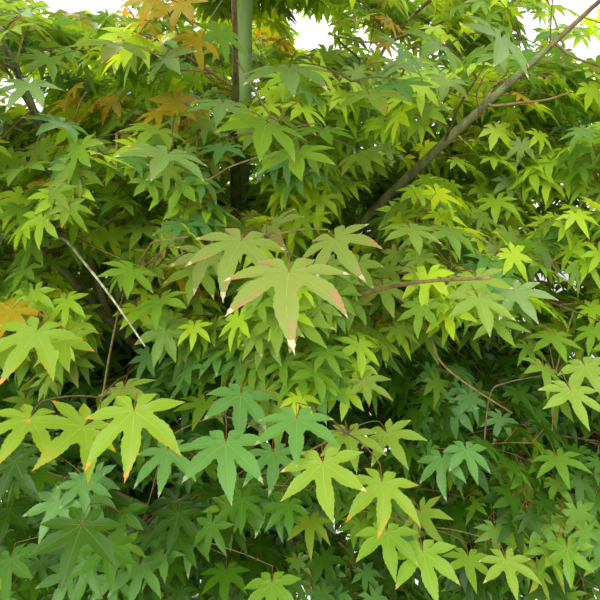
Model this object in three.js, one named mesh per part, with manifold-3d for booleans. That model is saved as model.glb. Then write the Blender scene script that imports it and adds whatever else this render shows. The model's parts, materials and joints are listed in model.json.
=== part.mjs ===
// A Japanese maple grown in a plain round pot: a leaning stem, boughs that fork, and flat
// layered masses of foliage, each one body of twigs and leaves. Millimetres, +Z up, with
// the origin at the centre of the pot's flat underside.
import * as THREE from "three";
import { mergeVertices } from "three/addons/utils/BufferGeometryUtils.js";
import Module from "manifold-3d";

const wasm = await Module();
wasm.setup();

// Driving sizes, in millimetres
const GAP = 0.3; // between any two touching pieces
const POT_HEIGHT = 380;
const POT_RIM_RADIUS = 230;
const POT_BASE_RADIUS = 172;
const POT_WALL = 5;
const POT_FLOOR = 7;
const POT_EDGE = 3; // bevel of the foot and of the lip
const LIP_HEIGHT = 28;
const LIP_WIDTH = 8;
const POT_SIDES = 28;
const DRAIN_SLOTS = 8;
const DRAIN_WIDTH = 24;
const DRAIN_HEIGHT = 16;
const SOIL_LEVEL = 348;
const SOIL_DROP = 7; // how much lower the soil lies at the wall than round the stem
const SOIL_FLAT_RADIUS = 90;

const TRUNK_LENGTH = 1720;
const TRUNK_CUT = 20; // run of the stem below the soil, which the flat cut takes off
const TRUNK_LEAN = 0.088; // sideways rise of the stem for each millimetre up
const TRUNK_STRAIGHTENS = 0.24; // share of the lean that is lost by the tip
const TRUNK_WAVE = 900;
const TRUNK_SWAY = 7;
const TRUNK_FOOT_RADIUS = 24;
const TRUNK_TIP_RADIUS = 6.5;
const TRUNK_TAPER = 0.85;
const FLARE_WIDTH = 17;
const FLARE_HEIGHT = 42;
const FLARE_ROOTS = 5;
const FLARE_LOBES = 0.3; // how deep the flare is fluted between its roots
const TRUNK_SIDES = 10;
const TRUNK_STEPS = 14;

const LIMB_SIDES = 6;
const LIMB_STEPS = 4;
const LIMB_SWAY = 0.018; // of a limb's own length
const LIMB_TIP_RADIUS = 4.2;
const LIMB_TAPER = 0.8;
const BOUGH_ARCH = 0.6; // how much a bough climbs first and spreads later

// The crown's tiers. The masses of a tier stand round the stem at these bearings, in
// degrees from +X towards +Y. Its boughs leave the trunk from the foot height up.
const TIERS = [
  {
    name: "middle",
    bearings: [-131, -64, -8, 52, 112, 172],
    reach: 430,
    height: 1290,
    foot: 860,
    footStep: 30,
    radius: 10.5,
  },
  {
    name: "upper",
    bearings: [-20, -88, -146, 150, 90, 28],
    reach: 400,
    height: 1640,
    foot: 1180,
    footStep: 30,
    radius: 10,
  },
  {
    name: "lower",
    bearings: [-96, -24, 48, 120, -168],
    reach: 370,
    height: 985,
    foot: 640,
    footStep: 24,
    radius: 9,
  },
  { name: "top", bearings: [-62, 58, 178], reach: 260, height: 1965, foot: 1600, footStep: 36, radius: 8 },
];
const FOOT_ORDER = [0, 3, 1, 4, 2, 5]; // neighbouring boughs leave the trunk at different heights
// Boughs that differ from the rest of their tier: a steep one at the left, a long one at
// the right, and a fork from each of those two, this share of the way along it
const OWN_WAY = {
  middle_1: { reach: 490, height: 1370, radius: 11, arch: 0.1 },
  upper_1: { foot: 1070, reach: 640, height: 1660, radius: 12, arch: 0.1 },
  upper_3: { from: "middle_1", at: 0.75, reach: 560, height: 1680, radius: 6, arch: 0.4 },
  upper_6: { from: "upper_1", at: 0.3, radius: 8, arch: 0.3 },
};
const HEIGHT_SPREAD = 34; // seeded differences between the masses of one tier
const REACH_SPREAD = 26;
const CROWN_SEED = 20;
const LEADER_SEED = 60;
const LEADER_RISE = 215; // the leading shoot's mass stands this far over the trunk's tip

// The room of a foliage mass: half its width and half its height, where it meets another
// mass of its kind, and how far its twigs and leaves keep from the next room and the limbs
const MASS_HALF_WIDTH = 250;
const MASS_HALF_HEIGHT = 190;
const ROOM_MARGIN = 4;
const LIMB_MARGIN = 3;

// A mass's stem and its side twigs
const STEM_LENGTH = 300;
const STEM_STEPS = 3;
const STEM_DROP = 65; // a stem starts this far under the middle of its mass, and rises
const STEM_RADIUS = 4;
const STEM_BEND = 0.9; // how firmly a stem turns outward as it grows
const TWIG_LENGTH = 185;
const TWIG_STEPS = 2;
const TWIG_RADIUS = 3.3;
const TWIG_DROOP = 0.3;
const TWIG_SPREAD = 1.1; // sideways share of a twig's direction
const END_TWIG_SPREAD = 0.6;
const TWIG_TILTS = [0.5, -0.3]; // by turns, twigs rise and hang
const CROSSWISE = Math.PI / 2; // turn from one pair of twigs to the next on a steep stem
const TILT_SPREAD = 0.3;
const TWIG_SIZE_SPREAD = 0.3;
const WANDER = 0.16;
const WANDER_UP = 0.1;
const SINK = 3; // how deep a twig or a leaf is sunk in what carries it
const FUSE_TOLERANCE = 0.12; // slivers smaller than this go where twigs and leaves fuse

// Leaves, about twice life size, since each stands for a small spray
const LEAF_LENGTH = 165; // from its root to the tip of its middle lobe
const LEAF_SIZE_SPREAD = 0.24;
const LEAF_THICKNESS = 3;
const LEAF_ROOT = 1.15; // radius of the stalk's end, which stays inside the twig
const LOBE_BEARINGS = [-96, -48, 0, 48, 96];
const LOBE_LENGTHS = [0.64, 0.9, 1, 0.9, 0.64];
const NOTCH_DEPTH = 0.36;
const NECK_BACK = 3; // where the stalk widens into the blade, this far short of the lobes
const NECK_WIDTH = 2.4;
const LEAF_STALK = 0.28; // share of the leaf's length that is stalk
const LEAF_ARCH = 0.24;
const LEAF_OUTWARD = 0.3;
const LEAF_HANG = 0.2; // least droop of a leaf, and how much more it may droop
const LEAF_HANG_SPREAD = 0.5;
const LEAF_SWING = 0.5;
const LEAF_ROLL = 0.9;
const LEAF_TRIES = 6;

const BARK_GREEN = new THREE.MeshStandardMaterial({ color: 0x6b7350, roughness: 0.8, metalness: 0 });
const LEAF_GREEN = new THREE.MeshStandardMaterial({ color: 0x7fa83c, roughness: 0.55, metalness: 0 });
const POT_BLACK = new THREE.MeshStandardMaterial({ color: 0x2b2c2d, roughness: 0.6, metalness: 0 });
const SOIL_BROWN = new THREE.MeshStandardMaterial({ color: 0x3c2a1e, roughness: 0.95, metalness: 0 });

const UP = new THREE.Vector3(0, 0, 1);
const DOWN = new THREE.Vector3(0, 0, -1);
const RIGHT = new THREE.Vector3(1, 0, 0);
const radians = THREE.MathUtils.degToRad;

const isSteep = (along) => Math.abs(along.z) > 0.8;

// A vector square to a direction, and level unless the direction is steep
function sideOf(along) {
  return new THREE.Vector3().crossVectors(isSteep(along) ? RIGHT : UP, along).normalize();
}

// A seeded stream of numbers from 0 to 1
function randomFrom(seed) {
  let state = seed >>> 0;
  return () => {
    state = (state + 0x6d2b79f5) >>> 0;
    let t = Math.imul(state ^ (state >>> 15), state | 1);
    t ^= t + Math.imul(t ^ (t >>> 7), t | 61);
    return ((t ^ (t >>> 14)) >>> 0) / 4294967296;
  };
}

// A size that varies by a share of itself, half of it up and half of it down
function varied(size, spread, random) {
  return size * (1 - spread / 2 + spread * random());
}

// The seed of the k-th thing that grows from a thing with this seed
function childSeed(seed, k) {
  return Math.imul(seed + 7919 * (k + 1), 2654435761) >>> 0;
}

// Solids
function solidOf(geometry) {
  const bare = geometry.clone();
  bare.deleteAttribute("normal");
  bare.deleteAttribute("uv");
  const merged = mergeVertices(bare, 1e-4);
  return new wasm.Manifold(
    new wasm.Mesh({
      numProp: 3,
      vertProperties: merged.attributes.position.array,
      triVerts: new Uint32Array(merged.index.array),
    }),
  );
}

function meshOf(name, solid, material) {
  const { numProp, numVert, vertProperties, triVerts } = solid.getMesh();
  const places = new Float32Array(numVert * 3);
  for (let i = 0; i < numVert; i++) {
    places.set(vertProperties.subarray(i * numProp, i * numProp + 3), i * 3);
  }
  const geometry = new THREE.BufferGeometry();
  geometry.setAttribute("position", new THREE.BufferAttribute(places, 3));
  geometry.setIndex(new THREE.BufferAttribute(triVerts, 1));
  geometry.computeVertexNormals();
  const mesh = new THREE.Mesh(geometry, material);
  mesh.name = name;
  return mesh;
}

// A closed solid through rings of points, each ring with the same number of points
function skin(rings) {
  const sides = rings[0].length;
  const order = [];
  for (let r = 1; r < rings.length; r++) {
    for (let i = 0; i < sides; i++) {
      const [a, b] = [(r - 1) * sides + i, (r - 1) * sides + ((i + 1) % sides)];
      order.push(a, b, b + sides, a, b + sides, a + sides);
    }
  }
  const last = (rings.length - 1) * sides;
  for (let i = 1; i < sides - 1; i++) order.push(0, i + 1, i, last, last + i, last + i + 1);
  return closedSolid(rings.flat(), order);
}

function closedSolid(points, order) {
  const geometry = new THREE.BufferGeometry().setFromPoints(points);
  geometry.setIndex(order);
  const solid = solidOf(geometry);
  return solid.volume() < 0 ? solidOf(flipped(geometry)) : solid;
}

// A round tube along a curve. radiusAt(t, angle) gives its radius at a share t of the
// curve and an angle round it.
function taperedTube(curve, radiusAt, sides, steps) {
  const frames = curve.computeFrenetFrames(steps, false);
  const rings = [];
  for (let step = 0; step <= steps; step++) {
    const ring = [];
    for (let i = 0; i < sides; i++) {
      const angle = (2 * Math.PI * i) / sides;
      const radius = radiusAt(step / steps, angle);
      const point = curve.getPoint(step / steps);
      point.addScaledVector(frames.normals[step], radius * Math.cos(angle));
      point.addScaledVector(frames.binormals[step], radius * Math.sin(angle));
      ring.push(point);
    }
    rings.push(ring);
  }
  return skin(rings);
}

function flipped(geometry) {
  const turned = geometry.clone();
  const order = turned.index.array;
  for (let i = 0; i < order.length; i += 3) {
    [order[i + 1], order[i + 2]] = [order[i + 2], order[i + 1]];
  }
  return turned;
}

// Pot and soil
function outerRadius(height) {
  const bodyTop = POT_HEIGHT - LIP_HEIGHT;
  const share = Math.min(height / bodyTop, 1);
  return POT_BASE_RADIUS + (POT_RIM_RADIUS - LIP_WIDTH - POT_BASE_RADIUS) * share;
}

function lathe(profile) {
  const points = profile.map(([radius, height]) => new THREE.Vector2(radius, height));
  const turned = new THREE.LatheGeometry(points, POT_SIDES);
  turned.rotateX(Math.PI / 2);
  const solid = solidOf(turned);
  return solid.volume() < 0 ? solidOf(flipped(turned)) : solid;
}

function makePot() {
  const bodyTop = POT_HEIGHT - LIP_HEIGHT;
  const inner = (height) => outerRadius(height) - POT_WALL;
  let pot = lathe([
    [0, 0],
    [POT_BASE_RADIUS - POT_EDGE, 0],
    [outerRadius(POT_EDGE), POT_EDGE],
    [outerRadius(bodyTop), bodyTop],
    [POT_RIM_RADIUS, bodyTop + POT_EDGE],
    [POT_RIM_RADIUS, POT_HEIGHT - POT_EDGE],
    [POT_RIM_RADIUS - POT_EDGE, POT_HEIGHT],
    [inner(bodyTop) + POT_EDGE, POT_HEIGHT],
    [inner(bodyTop), POT_HEIGHT - POT_EDGE],
    [inner(bodyTop), bodyTop],
    [inner(POT_FLOOR), POT_FLOOR],
    [0, POT_FLOOR],
  ]);
  for (let i = 0; i < DRAIN_SLOTS; i++) {
    const slot = new THREE.BoxGeometry(4 * POT_WALL, DRAIN_WIDTH, DRAIN_HEIGHT);
    slot.translate(POT_BASE_RADIUS + POT_WALL, 0, POT_FLOOR + DRAIN_HEIGHT / 2);
    slot.rotateZ(((i + 0.5) / DRAIN_SLOTS) * 2 * Math.PI);
    pot = pot.subtract(solidOf(slot));
  }
  return pot;
}

function makeSoil() {
  const low = POT_FLOOR + GAP;
  const wall = (height) => outerRadius(height) - POT_WALL - 3 * GAP;
  const shoulder = SOIL_LEVEL - SOIL_DROP;
  return lathe([
    [0, low],
    [wall(low), low],
    [wall(shoulder), shoulder],
    [SOIL_FLAT_RADIUS, SOIL_LEVEL],
    [0, SOIL_LEVEL],
  ]);
}

// The trunk's centre line. Its height is counted from the flat cut that rests on the soil.
const trunkHeight = (t) => -TRUNK_CUT + t * (TRUNK_LENGTH + TRUNK_CUT);
const trunkShare = (z) => (z - SOIL_LEVEL - GAP + TRUNK_CUT) / (TRUNK_LENGTH + TRUNK_CUT);

class TrunkCurve extends THREE.Curve {
  getPoint(t) {
    const height = trunkHeight(t);
    const turn = (2 * Math.PI * height) / TRUNK_WAVE;
    const lean = TRUNK_LEAN * height * (1 - (TRUNK_STRAIGHTENS * height) / TRUNK_LENGTH);
    return new THREE.Vector3(
      lean + TRUNK_SWAY * Math.sin(turn),
      TRUNK_SWAY * 1.4 * Math.sin(turn * 0.7),
      SOIL_LEVEL + GAP + height,
    );
  }
}

function trunkRadius(t, angle) {
  const height = trunkHeight(t);
  const flare = FLARE_WIDTH * Math.exp(-height / FLARE_HEIGHT);
  const taper = Math.max(1 - height / TRUNK_LENGTH, 0) ** TRUNK_TAPER;
  const plain = TRUNK_TIP_RADIUS + (TRUNK_FOOT_RADIUS - TRUNK_TIP_RADIUS) * taper;
  return plain + flare * (1 + FLARE_LOBES * Math.cos(FLARE_ROOTS * angle));
}

// A limb's centre line: an arch from its foot to its tip, with a slow seeded sway
class LimbCurve extends THREE.Curve {
  constructor(foot, tip, arch, seed) {
    super();
    const random = randomFrom(seed);
    const span = tip.clone().sub(foot);
    const bend = foot.clone();
    bend.x += span.x * (0.5 - 0.3 * arch);
    bend.y += span.y * (0.5 - 0.3 * arch);
    bend.z += span.z * (0.5 + 0.22 * arch);
    this.foot = foot;
    this.bend = bend;
    this.tip = tip;
    this.side = new THREE.Vector3().crossVectors(span, UP).normalize();
    this.sway = LIMB_SWAY * span.length() * (0.5 + random());
    this.phase = 2 * Math.PI * random();
  }
  getPoint(t) {
    const place = new THREE.Vector3();
    place.addScaledVector(this.foot, (1 - t) ** 2);
    place.addScaledVector(this.bend, 2 * t * (1 - t));
    place.addScaledVector(this.tip, t ** 2);
    const sway = this.sway * Math.sin(Math.PI * t) * Math.sin(3 * Math.PI * t + this.phase);
    return place.addScaledVector(this.side, sway);
  }
}

// Where each bough and its mass stand
function planCrown(trunk) {
  const trunkAt = (height) => trunk.getPoint(trunkShare(height));
  const plans = [];
  TIERS.forEach((tier, tierIndex) => {
    tier.bearings.forEach((bearing, i) => {
      const name = `${tier.name}_${i + 1}`;
      const size = { ...tier, ...OWN_WAY[name] };
      const seed = childSeed(CROWN_SEED + tierIndex, i);
      const random = randomFrom(seed);
      const height = size.height + HEIGHT_SPREAD * (2 * random() - 1);
      const reach = size.reach + REACH_SPREAD * (2 * random() - 1);
      const turn = radians(bearing);
      const outward = new THREE.Vector3(Math.cos(turn), Math.sin(turn), 0);
      const centre = trunkAt(height).addScaledVector(outward, reach);
      const parent = plans.find((plan) => plan.name === size.from);
      const footHeight = size.foot + size.footStep * FOOT_ORDER[i];
      const foot = parent ? parent.curve.getPoint(size.at) : trunkAt(footHeight);
      const tip = centre.clone().addScaledVector(outward, -STEM_LENGTH / 2);
      tip.z -= STEM_DROP;
      const curve = new LimbCurve(foot, tip, size.arch ?? BOUGH_ARCH, seed);
      plans.push({ name, parent, centre, outward, seed, radius: size.radius, curve });
    });
  });
  return plans;
}

// The leading shoot's mass, upright on the trunk's tip
function planLeader(trunk) {
  return {
    name: "leader",
    centre: trunk.getPoint(1).addScaledVector(UP, LEADER_RISE),
    outward: UP,
    seed: childSeed(CROWN_SEED, LEADER_SEED),
    curve: trunk,
  };
}

const trunkTube = (trunk, extra) =>
  taperedTube(trunk, (t, angle) => trunkRadius(t, angle) + extra, TRUNK_SIDES, TRUNK_STEPS);

function boughTube(plan, extra) {
  const radius = (t) => LIMB_TIP_RADIUS + (plan.radius - LIMB_TIP_RADIUS) * (1 - t) ** LIMB_TAPER + extra;
  return taperedTube(plan.curve, radius, LIMB_SIDES, LIMB_STEPS);
}

// The largest body of a solid: loose scraps are dropped and sealed hollows filled
function mainBody(solid) {
  return solid.decompose().reduce((most, body) => (body.volume() > most.volume() ? body : most));
}

// Foliage: whether all these places lie in a mass's own room. It ends half way to each
// other mass, with widths and heights measured against the room's own.
function roomTest(own, centres) {
  const scaled = ({ x, y, z }) =>
    new THREE.Vector3(x / MASS_HALF_WIDTH, y / MASS_HALF_WIDTH, z / MASS_HALF_HEIGHT);
  const home = scaled(own);
  const others = centres.filter((centre) => centre !== own).map(scaled);
  const walls = others.map((other) => {
    const normal = other.clone().sub(home).normalize();
    const middle = home.clone().add(other).multiplyScalar(0.5);
    return { normal, limit: normal.dot(middle) - ROOM_MARGIN / MASS_HALF_HEIGHT };
  });
  const inside = (place) => walls.every((wall) => wall.normal.dot(scaled(place)) < wall.limit);
  return (places) => places.every(inside);
}

// A twig's points: it starts out in a direction, bends towards another as it goes, and
// wanders a little
function walk(start, direction, length, steps, towards, pull, random) {
  const points = [start.clone()];
  const heading = direction.clone().normalize();
  for (let i = 0; i < steps; i++) {
    points.push(points[i].clone().addScaledVector(heading, length / steps));
    heading.addScaledVector(towards, pull / steps);
    heading.x += WANDER * (random() - 0.5);
    heading.y += WANDER * (random() - 0.5);
    heading.z += WANDER_UP * (random() - 0.5);
    heading.normalize();
  }
  return points;
}

// A twig through its points: each ring stands square to the way the twig runs there, and
// the first is narrow enough to lie inside what carries the twig
function twigSolid(points, thick, thin, sides) {
  const rings = points.map((point, k) => {
    const before = points[Math.max(k - 1, 0)];
    const after = points[Math.min(k + 1, points.length - 1)];
    const along = after.clone().sub(before).normalize();
    const side = sideOf(along).negate();
    const over = new THREE.Vector3().crossVectors(side, along);
    const radius = k ? thick + ((thin - thick) * k) / (points.length - 1) : 0.6 * thick;
    return Array.from({ length: sides }, (_, i) => {
      const angle = (2 * Math.PI * i) / sides;
      const place = point.clone().addScaledVector(side, radius * Math.cos(angle));
      return place.addScaledVector(over, radius * Math.sin(angle));
    });
  });
  return skin(rings);
}

// A leaf as a thin lens in its own outline, on a stalk that ends inside its twig. axis
// points from its root to its tip, and normal out of its upper side.
function makeLeaf(root, axis, normal, length) {
  const across = new THREE.Vector3().crossVectors(normal, axis);
  const hub = LEAF_STALK * length;
  const lobe = length - hub;
  const place = (x, y, z) =>
    root.clone().addScaledVector(axis, x).addScaledVector(across, y).addScaledVector(normal, z);
  const outline = (bearing, share) => {
    const turn = radians(bearing);
    const radius = share * lobe;
    return place(hub + radius * Math.cos(turn), radius * Math.sin(turn), -LEAF_ARCH * radius * share);
  };
  const rim = [place(hub - NECK_BACK, -NECK_WIDTH, 0)];
  LOBE_BEARINGS.forEach((bearing, i) => {
    if (i) rim.push(outline((LOBE_BEARINGS[i - 1] + bearing) / 2, NOTCH_DEPTH));
    rim.push(outline(bearing, LOBE_LENGTHS[i]));
  });
  rim.push(place(hub - NECK_BACK, NECK_WIDTH, 0));
  const middle = [place(hub, 0, LEAF_THICKNESS / 2), place(hub, 0, -LEAF_THICKNESS / 2)];
  const stalk = [
    place(0, 0, LEAF_ROOT),
    place(0, LEAF_ROOT, -LEAF_ROOT / 2),
    place(0, -LEAF_ROOT, -LEAF_ROOT / 2),
  ];
  const points = [...rim, ...middle, ...stalk];
  return { points, solid: closedSolid(points, leafFaces(rim.length)) };
}

// The faces of a leaf: a fan over and under the blade, then the sides of its stalk
function leafFaces(count) {
  const last = count - 1;
  const [top, bottom, crest, right, left] = [0, 1, 2, 3, 4].map((i) => count + i);
  const order = [];
  for (let i = 1; i < count; i++) order.push(top, i - 1, i, bottom, i, i - 1);
  order.push(top, crest, 0, top, last, crest);
  order.push(crest, left, 0, crest, last, right);
  order.push(bottom, 0, left, bottom, left, right, bottom, right, last);
  order.push(crest, right, left);
  return order;
}

// The way a leaf points and the way its blade faces: out from its twig and hanging
function leafFrame(direction, outward, random) {
  const axis = direction.clone().addScaledVector(outward, LEAF_OUTWARD * random()).normalize();
  axis.z -= LEAF_HANG + LEAF_HANG_SPREAD * random();
  axis.x += LEAF_SWING * (random() - 0.5);
  axis.y += LEAF_SWING * (random() - 0.5);
  axis.normalize();
  const normal = UP.clone().addScaledVector(axis, -axis.z).normalize();
  normal.applyAxisAngle(axis, LEAF_ROLL * (random() - 0.5));
  return { axis, normal };
}

// A foliage mass: a stem, twigs in pairs along it, and leaves along the twigs. Whatever
// would leave the mass's own room, touch a limb or cross an earlier leaf is left out.
function growMass(plan, start, heading, inRoom, keepOut) {
  const random = randomFrom(childSeed(plan.seed, 100));
  const wood = [];
  const leaves = [];
  const free = (solid, points) => inRoom(points) && solid.intersect(keepOut).isEmpty();
  const crosses = (solid, own) =>
    [...leaves, ...wood].some((other) => other !== own && !other.intersect(solid).isEmpty());

  const addLeaf = (twig, root, direction, draw) => {
    for (let i = 0; i < LEAF_TRIES; i++) {
      const { axis, normal } = leafFrame(direction, plan.outward, draw);
      const leaf = makeLeaf(root, axis, normal, varied(LEAF_LENGTH, LEAF_SIZE_SPREAD, draw));
      if (free(leaf.solid, leaf.points) && !crosses(leaf.solid, twig)) {
        leaves.push(leaf.solid);
        return;
      }
    }
  };
  const addTwig = (node, direction, seed) => {
    const draw = randomFrom(seed);
    const length = varied(TWIG_LENGTH, TWIG_SIZE_SPREAD, draw);
    const points = walk(node, direction, length, TWIG_STEPS, DOWN, TWIG_DROOP, draw);
    const twig = twigSolid(points, TWIG_RADIUS, 0.85 * TWIG_RADIUS, 3);
    if (!free(twig, points)) return;
    wood.push(twig);
    const along = points[2].clone().sub(points[1]).normalize();
    const side = sideOf(along).multiplyScalar(draw() < 0.5 ? 1 : -1);
    addLeaf(twig, points[2].clone().addScaledVector(along, -SINK), along, draw);
    addLeaf(twig, points[1], side, draw);
  };

  const stem = walk(start, heading, STEM_LENGTH, STEM_STEPS, plan.outward, STEM_BEND, random);
  while (stem.length > 2 && !inRoom(stem.slice(-1))) stem.pop();
  const stemBody = twigSolid(stem, STEM_RADIUS, TWIG_RADIUS, 4);
  wood.push(stemBody);
  for (let i = 1; i < stem.length; i++) {
    const along = stem[i].clone().sub(stem[i - 1]).normalize();
    const node = stem[i].clone().addScaledVector(along, -SINK);
    const side = sideOf(along).applyAxisAngle(along, isSteep(along) ? i * CROSSWISE : 0);
    const spread = i === STEM_STEPS ? END_TWIG_SPREAD : TWIG_SPREAD;
    [-1, 1].forEach((hand) => {
      const direction = along.clone().addScaledVector(side, hand * spread);
      const tilt = TWIG_TILTS[(i + (hand + 1) / 2) % 2];
      direction.z += tilt + TILT_SPREAD * (random() - 0.5);
      addTwig(node, direction, childSeed(plan.seed, 10 * i + hand));
    });
  }
  const end = stem[stem.length - 1].clone().addScaledVector(plan.outward, -SINK);
  addLeaf(stemBody, end, plan.outward, random);
  return mainBody(wasm.Manifold.union([...wood, ...leaves])).simplify(FUSE_TOLERANCE);
}

// The whole plant
const plant = new THREE.Group();
plant.add(meshOf("pot", makePot(), POT_BLACK));
plant.add(meshOf("soil", makeSoil(), SOIL_BROWN));

const trunk = new TrunkCurve();
const plans = planCrown(trunk);
const standing = trunkTube(trunk, 0).trimByPlane([0, 0, 1], SOIL_LEVEL + GAP);
plant.add(meshOf("trunk", standing, BARK_GREEN));

plans.forEach((plan) => {
  const seat = plan.parent ? boughTube(plan.parent, GAP) : trunkTube(trunk, GAP);
  const bough = mainBody(boughTube(plan, 0).subtract(seat));
  plant.add(meshOf(`bough_${plan.name}`, bough, BARK_GREEN));
});

const limbs = [trunkTube(trunk, LIMB_MARGIN), ...plans.map((plan) => boughTube(plan, LIMB_MARGIN))];
const keepOut = wasm.Manifold.union(limbs);
const masses = [...plans, planLeader(trunk)];
const centres = masses.map((mass) => mass.centre);
masses.forEach((mass) => {
  const heading = mass.curve.getTangent(1);
  const start = mass.curve.getPoint(1).addScaledVector(heading, GAP);
  const solid = growMass(mass, start, heading, roomTest(mass.centre, centres), keepOut);
  plant.add(meshOf(`foliage_${mass.name}`, solid, LEAF_GREEN));
});

export default plant;
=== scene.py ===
import json
import math
from collections import namedtuple

import bpy
import numpy as np
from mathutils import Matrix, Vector

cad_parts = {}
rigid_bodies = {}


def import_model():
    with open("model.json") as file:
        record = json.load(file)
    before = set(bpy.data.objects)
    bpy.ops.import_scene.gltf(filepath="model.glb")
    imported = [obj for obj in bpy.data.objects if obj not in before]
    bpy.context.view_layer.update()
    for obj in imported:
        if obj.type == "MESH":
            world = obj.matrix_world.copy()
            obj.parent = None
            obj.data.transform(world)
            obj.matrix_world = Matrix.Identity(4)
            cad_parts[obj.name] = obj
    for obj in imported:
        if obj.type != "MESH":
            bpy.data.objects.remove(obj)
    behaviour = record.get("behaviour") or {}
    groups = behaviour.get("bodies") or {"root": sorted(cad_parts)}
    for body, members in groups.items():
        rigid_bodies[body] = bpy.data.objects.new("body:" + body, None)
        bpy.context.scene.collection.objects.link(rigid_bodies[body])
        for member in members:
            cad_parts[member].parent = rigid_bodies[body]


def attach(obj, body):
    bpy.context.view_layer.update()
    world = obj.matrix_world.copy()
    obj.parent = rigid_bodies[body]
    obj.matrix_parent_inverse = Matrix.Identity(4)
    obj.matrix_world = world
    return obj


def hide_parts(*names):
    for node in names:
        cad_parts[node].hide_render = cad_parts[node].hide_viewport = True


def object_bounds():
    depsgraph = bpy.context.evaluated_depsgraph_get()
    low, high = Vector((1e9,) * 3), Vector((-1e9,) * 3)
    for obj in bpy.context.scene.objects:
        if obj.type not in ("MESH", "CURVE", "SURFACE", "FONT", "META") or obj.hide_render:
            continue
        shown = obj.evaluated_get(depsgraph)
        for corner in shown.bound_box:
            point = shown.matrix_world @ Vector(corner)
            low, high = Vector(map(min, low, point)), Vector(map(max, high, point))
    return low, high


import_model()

CAD_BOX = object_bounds()

# Driving sizes, the same as the frame's
GAP = 0.0003  # between one solid and the next
POT_HEIGHT = 0.380
POT_RIM_RADIUS = 0.230
POT_BASE_RADIUS = 0.172
POT_WALL = 0.005
POT_FLOOR = 0.007
POT_SIDES = 144
DRAIN_SLOTS = 8
DRAIN_WIDTH = 0.024
DRAIN_HEIGHT = 0.016
LIP_HEIGHT = 0.028
LIP_WIDTH = 0.008
SOIL_LEVEL = 0.348
SOIL_DROP = 0.007
SOIL_FLAT = 0.090
TRUNK_LENGTH = 1.720
TRUNK_CUT = 0.020
TRUNK_LEAN = 0.088
TRUNK_STRAIGHTENS = 0.24
TRUNK_WAVE = 0.900
TRUNK_SWAY = 0.007
TRUNK_FOOT_RADIUS = 0.024
TRUNK_TIP_RADIUS = 0.0065
TRUNK_TAPER = 0.85
FLARE_WIDTH = 0.017
FLARE_HEIGHT = 0.042
FLARE_ROOTS = 5
FLARE_LOBES = 0.3
LIMB_SWAY = 0.018
LIMB_TIP_RADIUS = 0.0042
LIMB_TAPER = 0.8
BOUGH_ARCH = 0.6
TIERS = [
    dict(name="middle", bearings=[-131, -64, -8, 52, 112, 172], reach=0.430, height=1.290,
         foot=0.860, step=0.030, radius=0.0105),
    dict(name="upper", bearings=[-20, -88, -146, 150, 90, 28], reach=0.400, height=1.640,
         foot=1.180, step=0.030, radius=0.010),
    dict(name="lower", bearings=[-96, -24, 48, 120, -168], reach=0.370, height=0.985,
         foot=0.640, step=0.024, radius=0.009),
    dict(name="top", bearings=[-62, 58, 178], reach=0.260, height=1.965,
         foot=1.600, step=0.036, radius=0.008),
]
FOOT_ORDER = [0, 3, 1, 4, 2, 5]
OWN_WAY = {
    "middle_1": dict(reach=0.490, height=1.370, radius=0.011, arch=0.1),
    "upper_1": dict(foot=1.070, reach=0.640, height=1.660, radius=0.012, arch=0.1),
    "upper_3": dict(parent="middle_1", at=0.75, reach=0.560, height=1.680, radius=0.006, arch=0.4),
    "upper_6": dict(parent="upper_1", at=0.3, radius=0.008, arch=0.3),
}
HEIGHT_SPREAD = 0.034
REACH_SPREAD = 0.026
CROWN_SEED = 20
LEADER_SEED = 60
STEM_SEED = 100
LEADER_RISE = 0.215
MASS_HALF_WIDTH = 0.250
MASS_HALF_HEIGHT = 0.190
ROOM_MARGIN = 0.004
STEM_LENGTH = 0.300
STEM_STEPS = 3
STEM_DROP = 0.065
STEM_RADIUS = 0.004
STEM_BEND = 0.9
TWIG_LENGTH = 0.185
TWIG_STEPS = 2
TWIG_RADIUS = 0.0033
TWIG_DROOP = 0.3
TWIG_SPREAD = 1.1
END_TWIG_SPREAD = 0.6
TWIG_TILTS = [0.5, -0.3]
TILT_SPREAD = 0.3
TWIG_SIZE_SPREAD = 0.3
WANDER = 0.16
WANDER_UP = 0.1

# The finer growth, which only the looks have: shoots along each twig, and leaves on them
SHOOT_LENGTH = 0.100
SHOOT_SPREAD = 0.4
SHOOT_STEPS = 3
SHOOT_DROOP = 0.35
SHOOT_RADIUS = 0.0010
SHOOT_PLACES = [0.22, 0.46, 0.68, 0.88]
LEAF_PLACES = [0.28, 0.52, 0.76, 1.0]
LEAF_SIZE = 0.042  # length of a leaf's middle lobe
LEAF_SIZE_SPREAD = 0.4
STALK_OUTWARD = 0.35
STALK_SAG = 0.25
BLADE_OUTWARD = 0.5
BLADE_DROOP = 0.3
DROOP_SPREAD = 0.9
BLADE_TURN = 1.2
BLADE_ROLL = 0.9
PETIOLE = 0.026
PETIOLE_SPREAD = 0.5
PETIOLE_RADIUS = 0.00045
SAME_TINT = 0.75  # share of a shoot's leaves that have its own tint
SPUR_STEP = 0.062  # between the side twigs along a bough
SPUR_FROM = 0.28
SPUR_TO = 0.93
SPUR_LENGTH = 0.150
LIMB_CLEARANCE = 0.003
BOX_ROOM = 0.015  # how far a leaf's tip may stand out of the frame's box
BOUGH_SEED = 40
END_TWIG_SEED = 77
END_SHOOT_SEED = 90
STEM_SHOOT_SEED = 300
SPUR_SEED = 500
KEY_SEED = 900
REACHING_SEED = 950

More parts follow.
